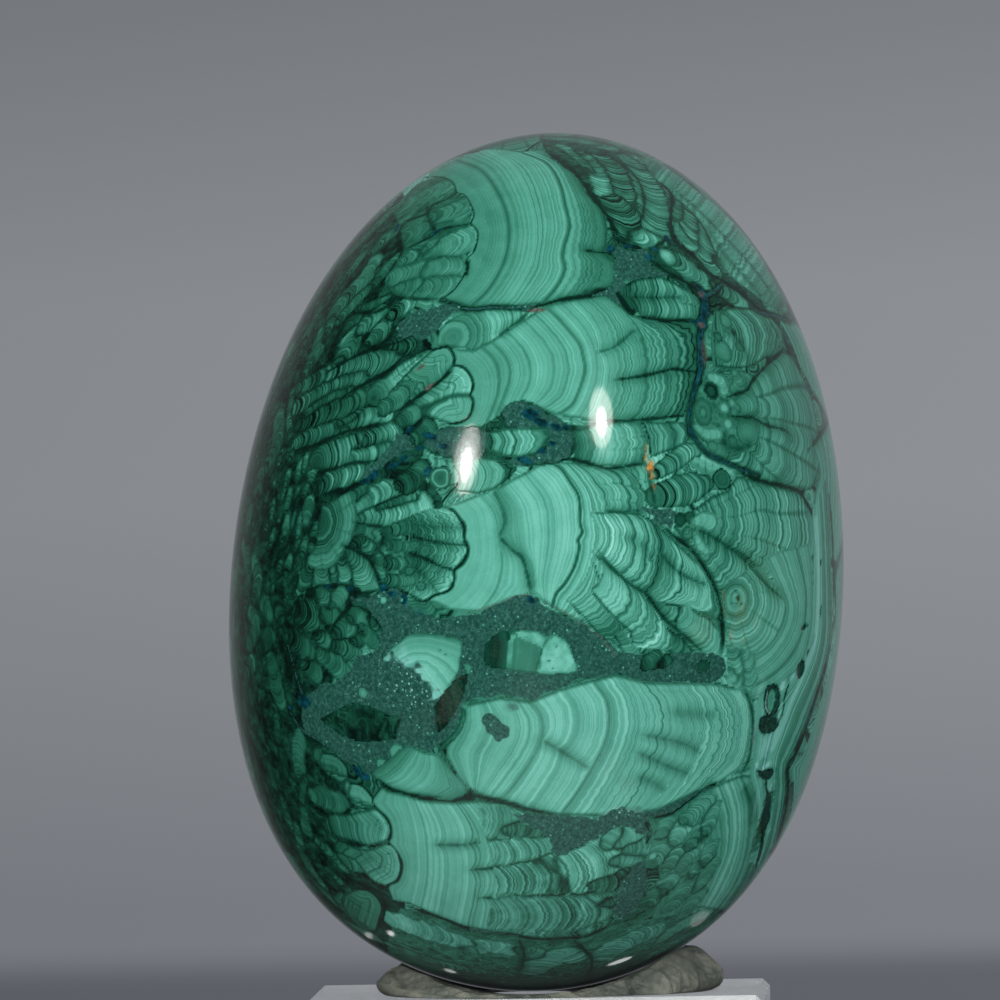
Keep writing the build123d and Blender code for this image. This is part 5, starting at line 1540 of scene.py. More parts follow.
    # right of it
    st.fan(
        [
            (0.44, 0.0, [(648, 818), (656, 850), (660, 890), (650, 922)]),
            (0.50, 0.0, [(672, 812), (684, 845), (690, 880), (676, 922)]),
            (0.54, 0.0, [(700, 792), (712, 820), (714, 860), (696, 908)]),
            (0.76, 0.0, [(724, 782), (733, 812), (732, 848), (718, 882), (704, 908)]),
            (0.60, 0.0, [(738, 776), (746, 806), (744, 850), (732, 885), (714, 910)]),
            (0.50, 0.3, [(752, 774), (760, 800), (758, 840), (746, 876), (726, 910)]),
            (0.50, 0.0, [(768, 786), (774, 815), (766, 850), (750, 888), (734, 914)]),
            (0.42, 0.0, [(790, 800), (788, 820), (778, 850), (760, 888), (744, 914)]),
        ],
        amp=0.18,
        depth=(0.5, 2.0),
        width=22,
        edge=(0.5, 5.0),
        crack=0.25,
    )
    st.bundle(
        [
            ([(684, 822, 7), (696, 813, 10), (704, 806, 10)], (0.48, 0.6), 0.2),
            ([(700, 838, 6), (708, 826, 8), (712, 812, 8)], (0.46, 0.6), 0.2),
            ([(690, 846, 7), (700, 836, 8)], (0.44, 0.56), 0.2),
            ([(704, 862, 7), (711, 848, 8)], (0.44, 0.56), 0.18),
            ([(698, 888, 6), (706, 876, 8), (712, 866, 8)], (0.42, 0.54), 0.16),
            ([(662, 834, 6), (667, 826, 8)], (0.46, 0.56), 0.14),
            ([(674, 840, 8), (679, 830, 10)], (0.56, 0.7), 0.14),
            ([(654, 860, 8), (663, 848, 11)], (0.4, 0.54), 0.18),
            ([(670, 864, 7), (677, 853, 8)], (0.42, 0.52), 0.18),
            ([(682, 866, 6), (690, 855, 8)], (0.44, 0.54), 0.18),
            ([(690, 878, 6), (696, 868, 7)], (0.42, 0.52), 0.18),
            ([(650, 902, 8), (657, 894, 10)], (0.3, 0.44), 0.14),
            ([(662, 892, 7), (669, 882, 9)], (0.4, 0.5), 0.16),
            ([(672, 906, 8), (682, 892, 10), (688, 880, 9)], (0.42, 0.5), 0.18),
            ([(688, 908, 8), (698, 896, 9)], (0.44, 0.52), 0.16),
        ],
        fill=1.55,
        line=(0.75, 2.0),
        rim=0.3,
    )
    st.nodule(655, 857, 3, tone=(0.66, 0.6), amp=0.05)
    st.nodule(653, 856, 4.5, tone=(0.7, 0.66), amp=0.05, line=(0.4, 1.6))
    st.crack([(744, 786), (752, 805), (752, 826)], 1.8, 0.6, 0)
    st.crack([(715, 783), (702, 790), (683, 805), (669, 814), (650, 818)], 3.0, 0.9, 2)
    # foot: rows of rounded columns
    st.area([(400, 908), (421, 912), (447, 921), (472, 931), (511, 935), (536, 940), (566, 939), (587, 937), (613, 925), (650, 919), (700, 912), (735, 914), (700, 952), (640, 984), (560, 1000), (480, 1000), (420, 980), (388, 950)], 0.36, 0.14)
    st.bundle(
        [
            ([(392, 946, 7), (420, 957, 9), (446, 965, 9), (476, 971, 9), (506, 975, 8)], (0.44, 0.46), 0.18),
            ([(498, 982, 8), (530, 986, 8), (566, 984, 8), (600, 977, 7)], (0.4, 0.42), 0.16),
            ([(392, 920, 11), (410, 926, 14), (430, 933, 15), (452, 940, 13), (474, 946, 10)], (0.68, 0.64), 0.22),
            ([(470, 948, 9), (486, 946, 11), (500, 948, 12), (510, 951, 9)], (0.6, 0.62), 0.24),
            ([(516, 950, 7), (530, 952, 9), (538, 956, 8)], (0.4, 0.46), 0.2),
            ([(532, 972, 9), (550, 960, 13), (564, 954, 13), (574, 958, 11)], (0.58, 0.6), 0.24),
            ([(640, 962, 8), (662, 950, 10), (684, 938, 9), (706, 926, 8)], (0.5, 0.56), 0.14),
            ([(598, 962, 10), (616, 948, 15), (636, 938, 16), (650, 933, 14)], (0.54, 0.56), 0.24),
            ([(664, 938, 8), (684, 924, 11), (708, 912, 10)], (0.56, 0.64), 0.12),
        ],
        fill=1.5,
        line=(0.8, 2.4),
        bend=0.5,
        ring=[(386, 906), (402, 907), (421, 913), (447, 922), (472, 932), (511, 936), (536, 941), (566, 940), (587, 938), (613, 926), (650, 919), (700, 911), (735, 914), (700, 952), (640, 984), (560, 1000), (480, 1000), (420, 980), (384, 950)],
    )
    st.crack([(402, 904), (421, 911), (447, 920), (472, 930), (511, 934), (536, 939), (566, 938), (587, 936), (613, 924)], 3.2, 0.92, 0)
    st.crack([(572, 938), (584, 950), (592, 960), (588, 978)], 3.4, 0.85, 0)
    st.crack([(519, 938), (524, 955), (520, 972)], 2.4, 0.7, 0)


def paint_strip(st):
    """Turquoise strip down the right edge, with pits, and the black band beyond it."""
    st.fan(
        [
            (0.66, 0.0, [(836, 574), (836, 612), (834, 650), (829, 672), (821, 700), (812, 730), (802, 756), (793, 768), (794, 790), (790, 815), (776, 846)]),
            (0.62, 0.0, [(840, 556), (840, 610), (838, 650), (834, 676), (826, 706), (817, 738), (807, 766), (800, 790), (794, 815), (782, 846)]),
            (0.30, 0.8, [(845, 532), (845, 610), (843, 650), (839, 682), (831, 714), (822, 748), (812, 776), (804, 800), (798, 820), (788, 846)]),
        ],
        amp=0.16,
        depth=(0, 0.5),
        edge=(0, 1),
    )
    st.fan(
        [
            (0.62, 0.0, [(812, 512), (814, 542), (813, 590), (812, 622), (808, 645), (800, 668), (788, 680), (772, 686), (760, 697), (755, 716), (756, 738), (754, 760), (750, 776), (757, 800), (756, 830), (748, 862)]),
            (0.72, 0.0, [(817, 499), (820, 540), (820, 600), (818, 640), (810, 668), (800, 690), (790, 712), (781, 738), (775, 756), (773, 776), (772, 800), (767, 832), (757, 864)]),
            (0.54, 0.0, [(822, 488), (825, 538), (827, 600), (826, 640), (818, 676), (808, 702), (797, 730), (787, 752), (781, 766), (781, 790), (777, 818), (771, 846), (761, 872)]),
            (0.42, 0.0, [(827, 474), (830, 536), (832, 600), (831, 645), (824, 678), (816, 703), (806, 731), (797, 753), (789, 766), (789, 790), (784, 818), (776, 848), (766, 876)]),
        ],
        amp=0.24,
        depth=(0, 0.8),
        width=30,
        edge=(0.0, 3),
        crack=0.0,
    )
    # its chalky side
    st.stroke([(816, 520), (818, 560), (818, 600), (815, 640), (807, 664)], 6.0, "pale", 0.55)
    st.stroke([(807, 664), (799, 684), (790, 706), (782, 728), (773, 748)], 5.5, "pale", 0.5)
    for x, y, rx, ry, v, turn in ((766, 746, 7, 12, 0.6, 18), (776, 734, 6, 12, 0.4, 25), (755, 728, 2, 26, 0.3, 0), (760, 690, 3, 9, 0.3, 30), (757, 800, 3, 26, 0.2, 0)):
        st.spot(x, y, rx, ry, "pale", v, turn, soft=0.8)
    st.crack([(829, 650), (825, 668), (818, 690), (811, 712), (803, 736), (796, 753), (788, 766), (788, 790), (785, 812), (778, 838), (769, 864)], 5.4, 0.98, 0, halo=6)
    st.spot(797, 749, 5, 13, "seam", 0.95, 22)
    st.crack([(829, 496), (832, 530), (833, 560), (834, 600)], 4.0, 0.85, 0, halo=4)
    st.crack([(834, 578), (838, 562), (842, 546), (846, 528)], 2.6, 0.85, 3)
    st.crack([(770, 850), (780, 850), (790, 842)], 2.4, 0.8, 3)
    st.crack([(745, 690), (752, 710), (753, 735), (749, 758), (741, 775)], 2.0, 0.8, 0, halo=4)
    # dark hollows, each with broken edges: dented, and darkened inside, partly a dark speckled fill and partly painted
    # shade
    for ring in (
        [(767, 686), (774, 684), (779, 689), (780, 700), (778, 710), (774, 716), (768, 716), (765, 711), (764, 700), (765, 692)],
        [(760, 718), (766, 715), (773, 717), (779, 720), (778, 727), (771, 733), (763, 734), (759, 727)],
        [(756, 769), (764, 771), (773, 769), (772, 776), (767, 780), (760, 776)],
        [(765, 777), (767, 780), (767, 788), (770, 794), (772, 797), (771, 806), (770, 818), (767, 827), (765, 834), (763, 846), (760, 857), (756, 868), (755, 870), (757, 858), (760, 846), (762, 834), (763, 822), (765, 808), (766, 796), (765, 786)],
        [(798, 664), (803, 660), (805, 666), (803, 674), (799, 680), (797, 673)],
    ):
        st.area(ring, 0.10, 0.1)
        st.matrix(ring, 0.45, soft=2.0)
        st.spot(np.mean(ring, axis=0)[0], np.mean(ring, axis=0)[1], 0.5 * np.ptp([q[0] for q in ring]), 0.4 * np.ptp([q[1] for q in ring]), "seam", 0.75, soft=0.7)
        x, y = np.mean(ring, axis=0)
        st.spot(x, y, 0.5 * np.ptp([q[0] for q in ring]), 0.42 * np.ptp([q[1] for q in ring]), "pit", 0.16, soft=0.5)
    st.nodule(772, 701, 6.4, tone=(0.54, 0.5), amp=0.08, line=(0.3, 1.6), oval=1.9)
    st.stroke([(768, 692), (766, 701), (767, 709), (770, 714)], 1.3, "pale", 0.8)
    st.stroke([(789, 684), (786, 692), (784, 701)], 1.9, "seam", 0.95)
    st.stroke([(784, 704), (783, 712), (780, 719)], 1.5, "seam", 0.9)
    # small dented pits, darkened: partly their own dark colour, partly painted shade
    for x, y, rx, ry, turn, deep in ((805, 627, 6, 2.6, -10, 0.2), (821, 563, 1.4, 3, 0, 0.1), (821, 611, 1.4, 6, 5, 0.1), (814, 640, 1.4, 5, 15, 0.1), (808, 653, 1.4, 4, 25, 0.1)):
        st.spot(x, y, rx, ry, "seam", 0.93, turn, soft=0.3)
        st.spot(x, y, rx, ry, "pit", deep, turn, soft=0.4)
    # pale flecks round the hollows: pale stone, and on the ring's right side painted highlights
    for x, y, rx, ry, turn in ((771, 787, 3.0, 6, 0), (757, 765, 2.6, 4, 0), (766, 766, 6, 3, 0), (783, 685, 3.4, 6, 25), (793, 676, 5, 2, -40), (780, 712, 1.6, 7, 15), (769, 831, 2.0, 3, 20)):
        st.spot(x, y, rx, ry, "pale", 0.75, turn, soft=0.5)


def paint_veins(st):
    st.vein([(694, 284, 0.5), (702, 291, 1.1), (705, 304, 1.35), (703, 322, 1.25), (700, 337, 0.9), (701, 352, 1.0), (700, 370, 0.9), (695, 388, 0.6), (691, 404, 0.4), (688, 420, 0.5), (692, 434, 0.7), (706, 452, 0.6), (722, 461, 0.5), (743, 470, 0.4), (759, 476, 0.3)], 6.2, blue=0.8)
    st.vein([(705, 296, 0.8), (713, 292, 0.9), (722, 284, 0.5)], 4.0, blue=0.6)
    for x, y, rx, ry in ((706, 314, 2.4, 4), (699, 330, 2, 4), (703, 360, 2.4, 5), (697, 380, 2.4, 4), (689, 412, 2.4, 8)):
        st.spot(x, y, rx, ry, "seam", 0.9, soft=0.6)
    st.spot(704, 352, 4, 16, "warm", 0.45)
    st.vein([(750, 306, 0.5), (762, 313), (776, 316), (790, 322, 0.5)], 3.4, blue=0.6)
    st.vein([(442, 300, 0.3), (469, 309, 0.8), (498, 307), (527, 309, 0.7)], 3.0, blue=0.5)
    st.crack([(442, 301), (469, 309), (498, 307), (527, 309), (560, 300), (596, 295), (620, 290)], 3.4, 0.95, 0)
    st.spot(604, 292, 14, 5, "seam", 0.95, -8)
    st.spot(578, 297, 22, 3, "seam", 0.9, -10)
    st.spot(531, 600, 5, 3.5, "blue", 0.8, 30)
    st.spot(418, 612, 9, 6, "blue", 0.4)


def paint_all(st):
    paint_back(st)
    paint_left(st)
    paint_big(st)
    paint_top(st)
    paint_middle(st)
    paint_right(st)
    paint_breccia(st)
    paint_low(st)
    st.spot(774, 560, 62, 150, "tone", 0.06, soft=0.9, ragged=0.0)
    st.spot(764, 590, 40, 80, "ochre", 0.08, soft=0.9, ragged=0.0)
    st.spot(372, 424, 86, 56, "tone", 0.035, -20, soft=0.8, ragged=0.0)
    st.spot(630, 738, 84, 46, "pale", 0.08, soft=0.8, ragged=0.2)
    st.spot(560, 745, 150, 60, "tone", -0.05, soft=0.8, ragged=0.0)
    paint_strip(st)
    paint_veins(st)


# ---------------------------------------------------------------- Blender helpers
def linear(rgb):
    """Linear colour from display values 0 to 255."""
    return tuple((c / 255 / 12.92) if c <= 10 else ((c / 255 + 0.055) / 1.055) ** 2.4 for c in rgb) + (1.0,)


class Nodes:
    """Short way to write a node tree."""

    def __init__(self, tree):
        self.tree = tree
        tree.nodes.clear()

    def new(self, kind, **settings):
        node = self.tree.nodes.new(kind)
        for k, v in settings.items():
            setattr(node, k, v)
        return node

    def link(self, a, b):
        self.tree.links.new(a, b)

    def feed(self, socket, value):
        if hasattr(value, "is_output"):
            self.link(value, socket)
        else:
            socket.default_value = value

    def math(self, op, a, b=None, c=None, clamp=False):
        node = self.new("ShaderNodeMath", operation=op, use_clamp=clamp)
        for k, v in enumerate((a, b, c)):
            if v is not None:
                self.feed(node.inputs[k], v)
        return node.outputs[0]

    def attr(self, name):
        return self.new("ShaderNodeAttribute", attribute_name=name).outputs["Fac"]

    def noise(self, scale, detail=2.0, rough=0.5, vector=None, w=None, dims="3D", distortion=0.0):
        node = self.new("ShaderNodeTexNoise", noise_dimensions=dims)
        node.inputs["Scale"].default_value = scale
        node.inputs["Detail"].default_value = detail
        node.inputs["Roughness"].default_value = rough
        node.inputs["Distortion"].default_value = distortion
        if vector is not None:
            self.link(vector, node.inputs["Vector"])
        if w is not None:
            self.link(w, node.inputs["W"])
        return node.outputs["Fac"]

    def ramp(self, fac, stops, mode="LINEAR"):
        node = self.new("ShaderNodeValToRGB")
        cr = node.color_ramp
        cr.interpolation = mode
        while len(cr.elements) < len(stops):
            cr.elements.new(0.5)
        for e, (at, col) in zip(cr.elements, stops):
            e.position = at
            e.color = col
        self.link(fac, node.inputs[0])
        return node.outputs[0]

    def range(self, value, a, b, c=0.0, d=1.0, smooth_step=True):
        node = self.new("ShaderNodeMapRange", interpolation_type="SMOOTHSTEP" if smooth_step else "LINEAR", clamp=True)
        self.link(value, node.inputs[0])
        for k, v in zip((1, 2, 3, 4), (a, b, c, d)):
            node.inputs[k].default_value = v
        return node.outputs[0]

    def mix(self, fac, a, b, blend="MIX"):
        node = self.new("ShaderNodeMix", data_type="RGBA", blend_type=blend)
        self.feed(node.inputs[0], fac)
        self.feed(node.inputs[6], a)
        self.feed(node.inputs[7], b)
        return node.outputs[2]


def material(name):
    m = bpy.data.materials.new(name)
    m.use_nodes = True
    return m, Nodes(m.node_tree)


def mesh_object(name, verts, faces=None, quads=None):
    me = bpy.data.meshes.new(name)
    if quads is None:
        me.from_pydata(verts, [], faces)
    else:
        me.vertices.add(len(verts))
        me.vertices.foreach_set("co", np.asarray(verts, np.float32).ravel())
        sizes = np.concatenate([np.full(len(q), q.shape[1]) for q in quads])
        me.loops.add(int(sizes.sum()))
        me.loops.foreach_set("vertex_index", np.concatenate([q.ravel() for q in quads]).astype(np.int32))
        me.polygons.add(len(sizes))
        me.polygons.foreach_set("loop_start", np.concatenate([[0], np.cumsum(sizes)[:-1]]).astype(np.int32))
    me.update(calc_edges=True)
    me.validate()
    me.polygons.foreach_set("use_smooth", np.ones(len(me.polygons), bool))
    ob = bpy.data.objects.new(name, me)
    bpy.context.scene.collection.objects.link(ob)
    return ob


# ---------------------------------------------------------------- stone egg
def egg_grid():
    """Rows along the axis and columns round it, closest on the near side."""
    fine, coarse = ((0.20, 0.44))
    s = np.linspace(-1, 1, 20001)
    r = np.sqrt(np.maximum(egg_square(s), 0))
    arc = np.concatenate([[0], np.cumsum(np.hypot(np.diff(r), EGG_HALF * np.diff(s)))])
    rows = int(arc[-1] / fine)
    level = np.interp(np.linspace(0, arc[-1], rows + 1), arc, s)[1:-1]
    a = np.linspace(-math.pi, math.pi, 20001)
    density = 1 / (fine + (coarse - fine) * smooth(math.radians(82), math.radians(105), np.abs(a)))
    cum = np.concatenate([[0], np.cumsum((density[1:] + density[:-1]) / 2 * np.diff(a) * 33.85)])
    cols = int(cum[-1])
    turn = np.interp(np.linspace(0, cum[-1], cols + 1), cum, a)[:-1]
    return level, turn


level, turn = egg_grid()
rows, cols = len(level), len(turn)
grid_s, grid_a = np.meshgrid(level, turn, indexing="ij")
points, normals = egg_points(grid_s.ravel(), grid_a.ravel())
poles = np.stack([CENTRE - EGG_HALF * AXIS, CENTRE + EGG_HALF * AXIS])
points = np.vstack([points, poles])
normals = np.vstack([normals, -AXIS[None], AXIS[None]])

stone = Stone(points, normals)
paint_all(stone)
points = points - stone.pit[:, None] * normals

j, i = np.meshgrid(np.arange(cols), np.arange(rows - 1))
j2 = (j + 1) % cols
quads = np.stack([i * cols + j, i * cols + j2, (i + 1) * cols + j2, (i + 1) * cols + j], -1).reshape(-1, 4)
c = np.arange(cols)
low = np.stack([np.full(cols, rows * cols), (c + 1) % cols, c], -1)
top = np.stack([np.full(cols, rows * cols + 1), (rows - 1) * cols + c, (rows - 1) * cols + (c + 1) % cols], -1)
egg = mesh_object("polished_egg", points / 1000, quads=[quads, low, top])
for name in ("tone", "amp", "grow", "seam", "matr", "blue", "warm", "ochre", "pale"):
    egg.data.attributes.new(name, "FLOAT", "POINT").data.foreach_set("value", getattr(stone, name).astype(np.float32))

# flat layout for the surface: columns across, rows up
u0 = np.arange(cols) / cols
u1 = (np.arange(cols) + 1) / cols
v = 0.02 + 0.96 * np.arange(rows) / (rows - 1)
uv = np.empty((len(quads), 4, 2))
uv[:, 0, 0] = uv[:, 3, 0] = np.broadcast_to(u0, (rows - 1, cols)).ravel()
uv[:, 1, 0] = uv[:, 2, 0] = np.broadcast_to(u1, (rows - 1, cols)).ravel()
uv[:, 0, 1] = uv[:, 1, 1] = np.repeat(v[:-1], cols)
uv[:, 2, 1] = uv[:, 3, 1] = np.repeat(v[1:], cols)
uv_low = np.stack([np.stack([(u0 + u1) / 2, np.zeros(cols)], -1), np.stack([u1, np.full(cols, v[0])], -1), np.stack([u0, np.full(cols, v[0])], -1)], 1)
uv_top = np.stack([np.stack([(u0 + u1) / 2, np.ones(cols)], -1), np.stack([u0, np.full(cols, v[-1])], -1), np.stack([u1, np.full(cols, v[-1])], -1)], 1)
layer = egg.data.uv_layers.new(name="OFBake")
layer.data.foreach_set("uv", np.concatenate([uv.ravel(), uv_low.ravel(), uv_top.ravel()]).astype(np.float32))


def stone_material():
    m, n = material("banded_copper_stone")
    where = n.new("ShaderNodeTexCoord").outputs["Object"]
    grow, tone, amp = n.attr("grow"), n.attr("tone"), n.attr("amp")
    seam, matr, blue, warm, ochre, pale = (n.attr(k) for k in ("seam", "matr", "blue", "warm", "ochre", "pale"))
    # a little waviness so that no band is ruled
    wob = n.noise(900.0, 3.0, 0.6, where)
    g = n.math("MULTIPLY_ADD", n.math("SUBTRACT", wob, 0.5), 2.6, grow)
    broad = n.math("SUBTRACT", n.noise(1 / 21.0, 1.0, 0.5, w=g, dims="1D"), 0.5)
    mid = n.math("SUBTRACT", n.noise(1 / 7.0, 1.0, 0.5, w=g, dims="1D"), 0.5)
    fine = n.math("SUBTRACT", n.noise(1 / 3.1, 0.0, 0.5, w=g, dims="1D"), 0.5)
    hair = n.math("SUBTRACT", n.noise(1 / 1.7, 0.0, 0.5, w=g, dims="1D"), 0.5)
    thin = n.noise(1 / 9.0, 0.0, 0.5, w=n.math("ADD", g, 913.0), dims="1D")
    thin = n.range(n.math("ABSOLUTE", n.math("SUBTRACT", thin, 0.5)), 0.006, 0.034, 1.0, 0.0)
    band = n.math("MULTIPLY", broad, 1.25)
    band = n.math("MULTIPLY_ADD", mid, 1.25, band)
    band = n.math("MULTIPLY_ADD", fine, 1.25, band)
    band = n.math("MULTIPLY_ADD", hair, 0.8, band)
    band = n.math("MULTIPLY_ADD", thin, -0.5, band)
    v = n.math("MULTIPLY_ADD", band, amp, tone)
    cloud = n.math("SUBTRACT", n.noise(420.0, 3.0, 0.55, where), 0.5)
    grain = n.math("SUBTRACT", n.noise(5200.0, 2.0, 0.6, where), 0.5)
    v = n.math("MULTIPLY_ADD", cloud, 0.16, v)
    v = n.math("MULTIPLY_ADD", grain, 0.10, v)
    v = n.math("MULTIPLY", v, n.math("MULTIPLY_ADD", seam, -0.93, 1.0))
    v = n.math("MULTIPLY", v, 1 / 1.2, clamp=True)
    green = n.ramp(
        v,
        [
            (0.0, linear((4, 19, 15))),
            (0.10, linear((8, 44, 33))),
            (0.25, linear((24, 80, 62))),
            (0.42, linear((50, 115, 96))),
            (0.58, linear((79, 151, 133))),
            (0.75, linear((113, 183, 167))),
            (1.0, linear((154, 210, 198))),
        ],
    )
    # speckled matrix
    speck = n.noise(2600.0, 3.0, 0.6, where)
    dust = n.noise(7500.0, 1.0, 0.5, where)
    spots = n.new("ShaderNodeTexVoronoi", feature="F1")
    n.link(where, spots.inputs["Vector"])
    spots.inputs["Scale"].default_value = 1500.0
    pale_dot = n.math("MULTIPLY", n.range(spots.outputs["Distance"], 0.10, 0.24, 1.0, 0.0), n.range(n.noise(900.0, 1.0, 0.5, where), 0.52, 0.62))
    dark = n.ramp(
        n.math("MULTIPLY_ADD", n.math("SUBTRACT", dust, 0.5), 0.45, speck),
        [
            (0.22, linear((15, 48, 42))),
            (0.44, linear((27, 68, 60))),
            (0.60, linear((38, 84, 74))),
            (0.80, linear((62, 114, 100))),
        ],
    )
    dark = n.mix(n.math("MULTIPLY", pale_dot, 0.75), dark, linear((88, 168, 146)))
    # crystals in the matrix where it is pale, with painted glints: pale dots put into the colour
    crystal = n.new("ShaderNodeTexVoronoi", feature="F1")
    n.link(where, crystal.inputs["Vector"])
    crystal.inputs["Scale"].default_value = 2300.0
    glint = n.math("MULTIPLY", n.range(crystal.outputs["Distance"], 0.18, 0.40, 1.0, 0.0), n.range(n.noise(1900.0, 1.0, 0.5, where), 0.46, 0.60))
    dark = n.mix(n.math("MULTIPLY", glint, pale), dark, linear((150, 214, 200)))
    patch = n.noise(1100.0, 3.0, 0.6, where)
    teal = n.ramp(patch, [(0.34, linear((3, 28, 30))), (0.5, linear((4, 48, 56))), (0.62, linear((8, 66, 78))), (0.75, linear((30, 84, 88)))])
    rust = n.ramp(speck, [(0.3, linear((48, 46, 44))), (0.5, linear((74, 70, 66))), (0.7, linear((106, 100, 94)))])
    gold = n.ramp(speck, [(0.3, linear((112, 66, 22))), (0.5, linear((178, 118, 44))), (0.7, linear((214, 164, 84)))])
    chalk = n.ramp(n.math("MULTIPLY_ADD", band, 0.25, 0.5), [(0.2, linear((84, 150, 146))), (0.5, linear((128, 190, 184))), (0.8, linear((160, 212, 206)))])
    col = n.mix(pale, green, chalk)
    col = n.mix(n.range(matr, 0.25, 0.75), col, dark)
    col = n.mix(n.range(blue, 0.15, 0.85), col, teal)
    col = n.mix(n.range(warm, 0.0, 1.0), col, rust)
    col = n.mix(n.range(ochre, 0.0, 1.0), col, gold)
    bsdf = n.new("ShaderNodeBsdfPrincipled")
    n.link(col, bsdf.inputs["Base Color"])
    gloss = n.math("MULTIPLY_ADD", matr, 0.03, n.range(n.noise(300.0, 4.0, 0.6, where), 0.3, 0.7, 0.05, 0.09))
    n.link(gloss, bsdf.inputs["Roughness"])
    bsdf.inputs["IOR"].default_value = 1.55
    bump = n.new("ShaderNodeBump")
    bump.inputs["Strength"].default_value = 0.06
    bump.inputs["Distance"].default_value = 0.0001
    height = n.math("MULTIPLY_ADD", seam, -0.6, n.math("MULTIPLY", n.math("MULTIPLY", speck, matr), -0.8))
    n.link(height, bump.inputs["Height"])
    n.link(bump.outputs[0], bsdf.inputs["Normal"])
    out = n.new("ShaderNodeOutputMaterial")
    n.link(bsdf.outputs[0], out.inputs[0])
    return m


egg.data.materials.append(stone_material())
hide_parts("stone_egg")
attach(egg, "egg")


# ---------------------------------------------------------------- putty ring
def egg_clear(p):
    """How far points in millimetres stand off the egg, roughly."""
    q = p - CENTRE
    s = np.clip((q @ AXIS) / EGG_HALF, -1, 1)
    rho = np.hypot(q @ SIDE, q @ FACE)
    r = np.sqrt(np.maximum(egg_square(s), 1e-6))
    slope = np.abs(0.5 * egg_slope(s) / EGG_HALF)
    return (rho - r) * r / np.hypot(r, slope)


def noise3(p, seed):
    return (noise2(p[:, 0] + 0.37 * p[:, 2], p[:, 1] - 0.41 * p[:, 2], seed) + noise2(p[:, 1] + 0.53 * p[:, 0], p[:, 2] + 0.29 * p[:, 1], seed + 3)) / 1.6


PUTTY_MIDDLE = (-0.2, -8.0)
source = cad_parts["mounting_putty"]
lump = bpy.data.objects.new("thumbed_putty", source.data.copy())
bpy.context.scene.collection.objects.link(lump)
lump.data.materials.clear()
remesh = lump.modifiers.new("Remesh", "REMESH")
remesh.mode = "VOXEL"
remesh.voxel_size = 0.00026
bpy.context.view_layer.update()
solid = bpy.data.meshes.new_from_object(lump.evaluated_get(bpy.context.evaluated_depsgraph_get()))
lump.modifiers.clear()
lump.data = solid
solid.name = "thumbed_putty"
count = len(solid.vertices)
co = np.empty(count * 3, np.float32)
solid.vertices.foreach_get("co", co)
co = co.reshape(-1, 3).astype(float) * 1000
no = np.empty(count * 3, np.float32)
solid.vertices.foreach_get("normal", no)
no = no.reshape(-1, 3).astype(float)
up = co[:, 2] - BLOCK_HEIGHT
away = np.clip((egg_clear(co) - 0.25) / 0.8, 0, 1)
foot = smooth(0.15, 0.8, up)
dent = 0.55 * noise3(co / 3.1, 5) + 0.28 * noise3(co / 1.3, 6) + 0.12 * noise3(co / 0.55, 7)
crease = np.minimum(np.abs(noise3(co / 2.3 + 9, 8)), np.abs(noise3(co / 3.4 - 5, 12)))
cut = 0.16 * (1 - smooth(0.0, 0.16, crease))
push = (-0.35 + dent - cut) * away * foot
push = np.minimum(push, 0.05)
co += push[:, None] * no
# thumbed lower still in front, so that the egg's foot shows over it
around = np.abs(np.arctan2(co[:, 0] - PUTTY_MIDDLE[0], PUTTY_MIDDLE[1] - co[:, 1]))
front = 1 - smooth(math.radians(48), math.radians(82), around)
up = co[:, 2] - BLOCK_HEIGHT
co[:, 2] = BLOCK_HEIGHT + np.where(up > 0, up + front * (np.maximum(up - 0.62, 0.14 * up) - up), up)
co[:, 2] = np.maximum(co[:, 2], BLOCK_HEIGHT + 0.0)
side = co[:, 0] > 15.0
co[:, 0] = np.where(side, 15.0 + 0.78 * (co[:, 0] - 15.0), co[:, 0])
co[:, 2] -= np.where(side & (co[:, 2] > BLOCK_HEIGHT + 1.0), 1.5 * np.clip(0.12 - egg_clear(co), 0.0, 0.4), 0.0)
solid.vertices.foreach_set("co", (co / 1000).astype(np.float32).ravel())
solid.polygons.foreach_set("use_smooth", np.ones(len(solid.polygons), bool))
# crease depth, kept for the colour: painted shade, darker in the creases
solid.attributes.new("crease", "FLOAT", "POINT").data.foreach_set("value", (cut / 0.16 * away * foot).astype(np.float32))
solid.update()


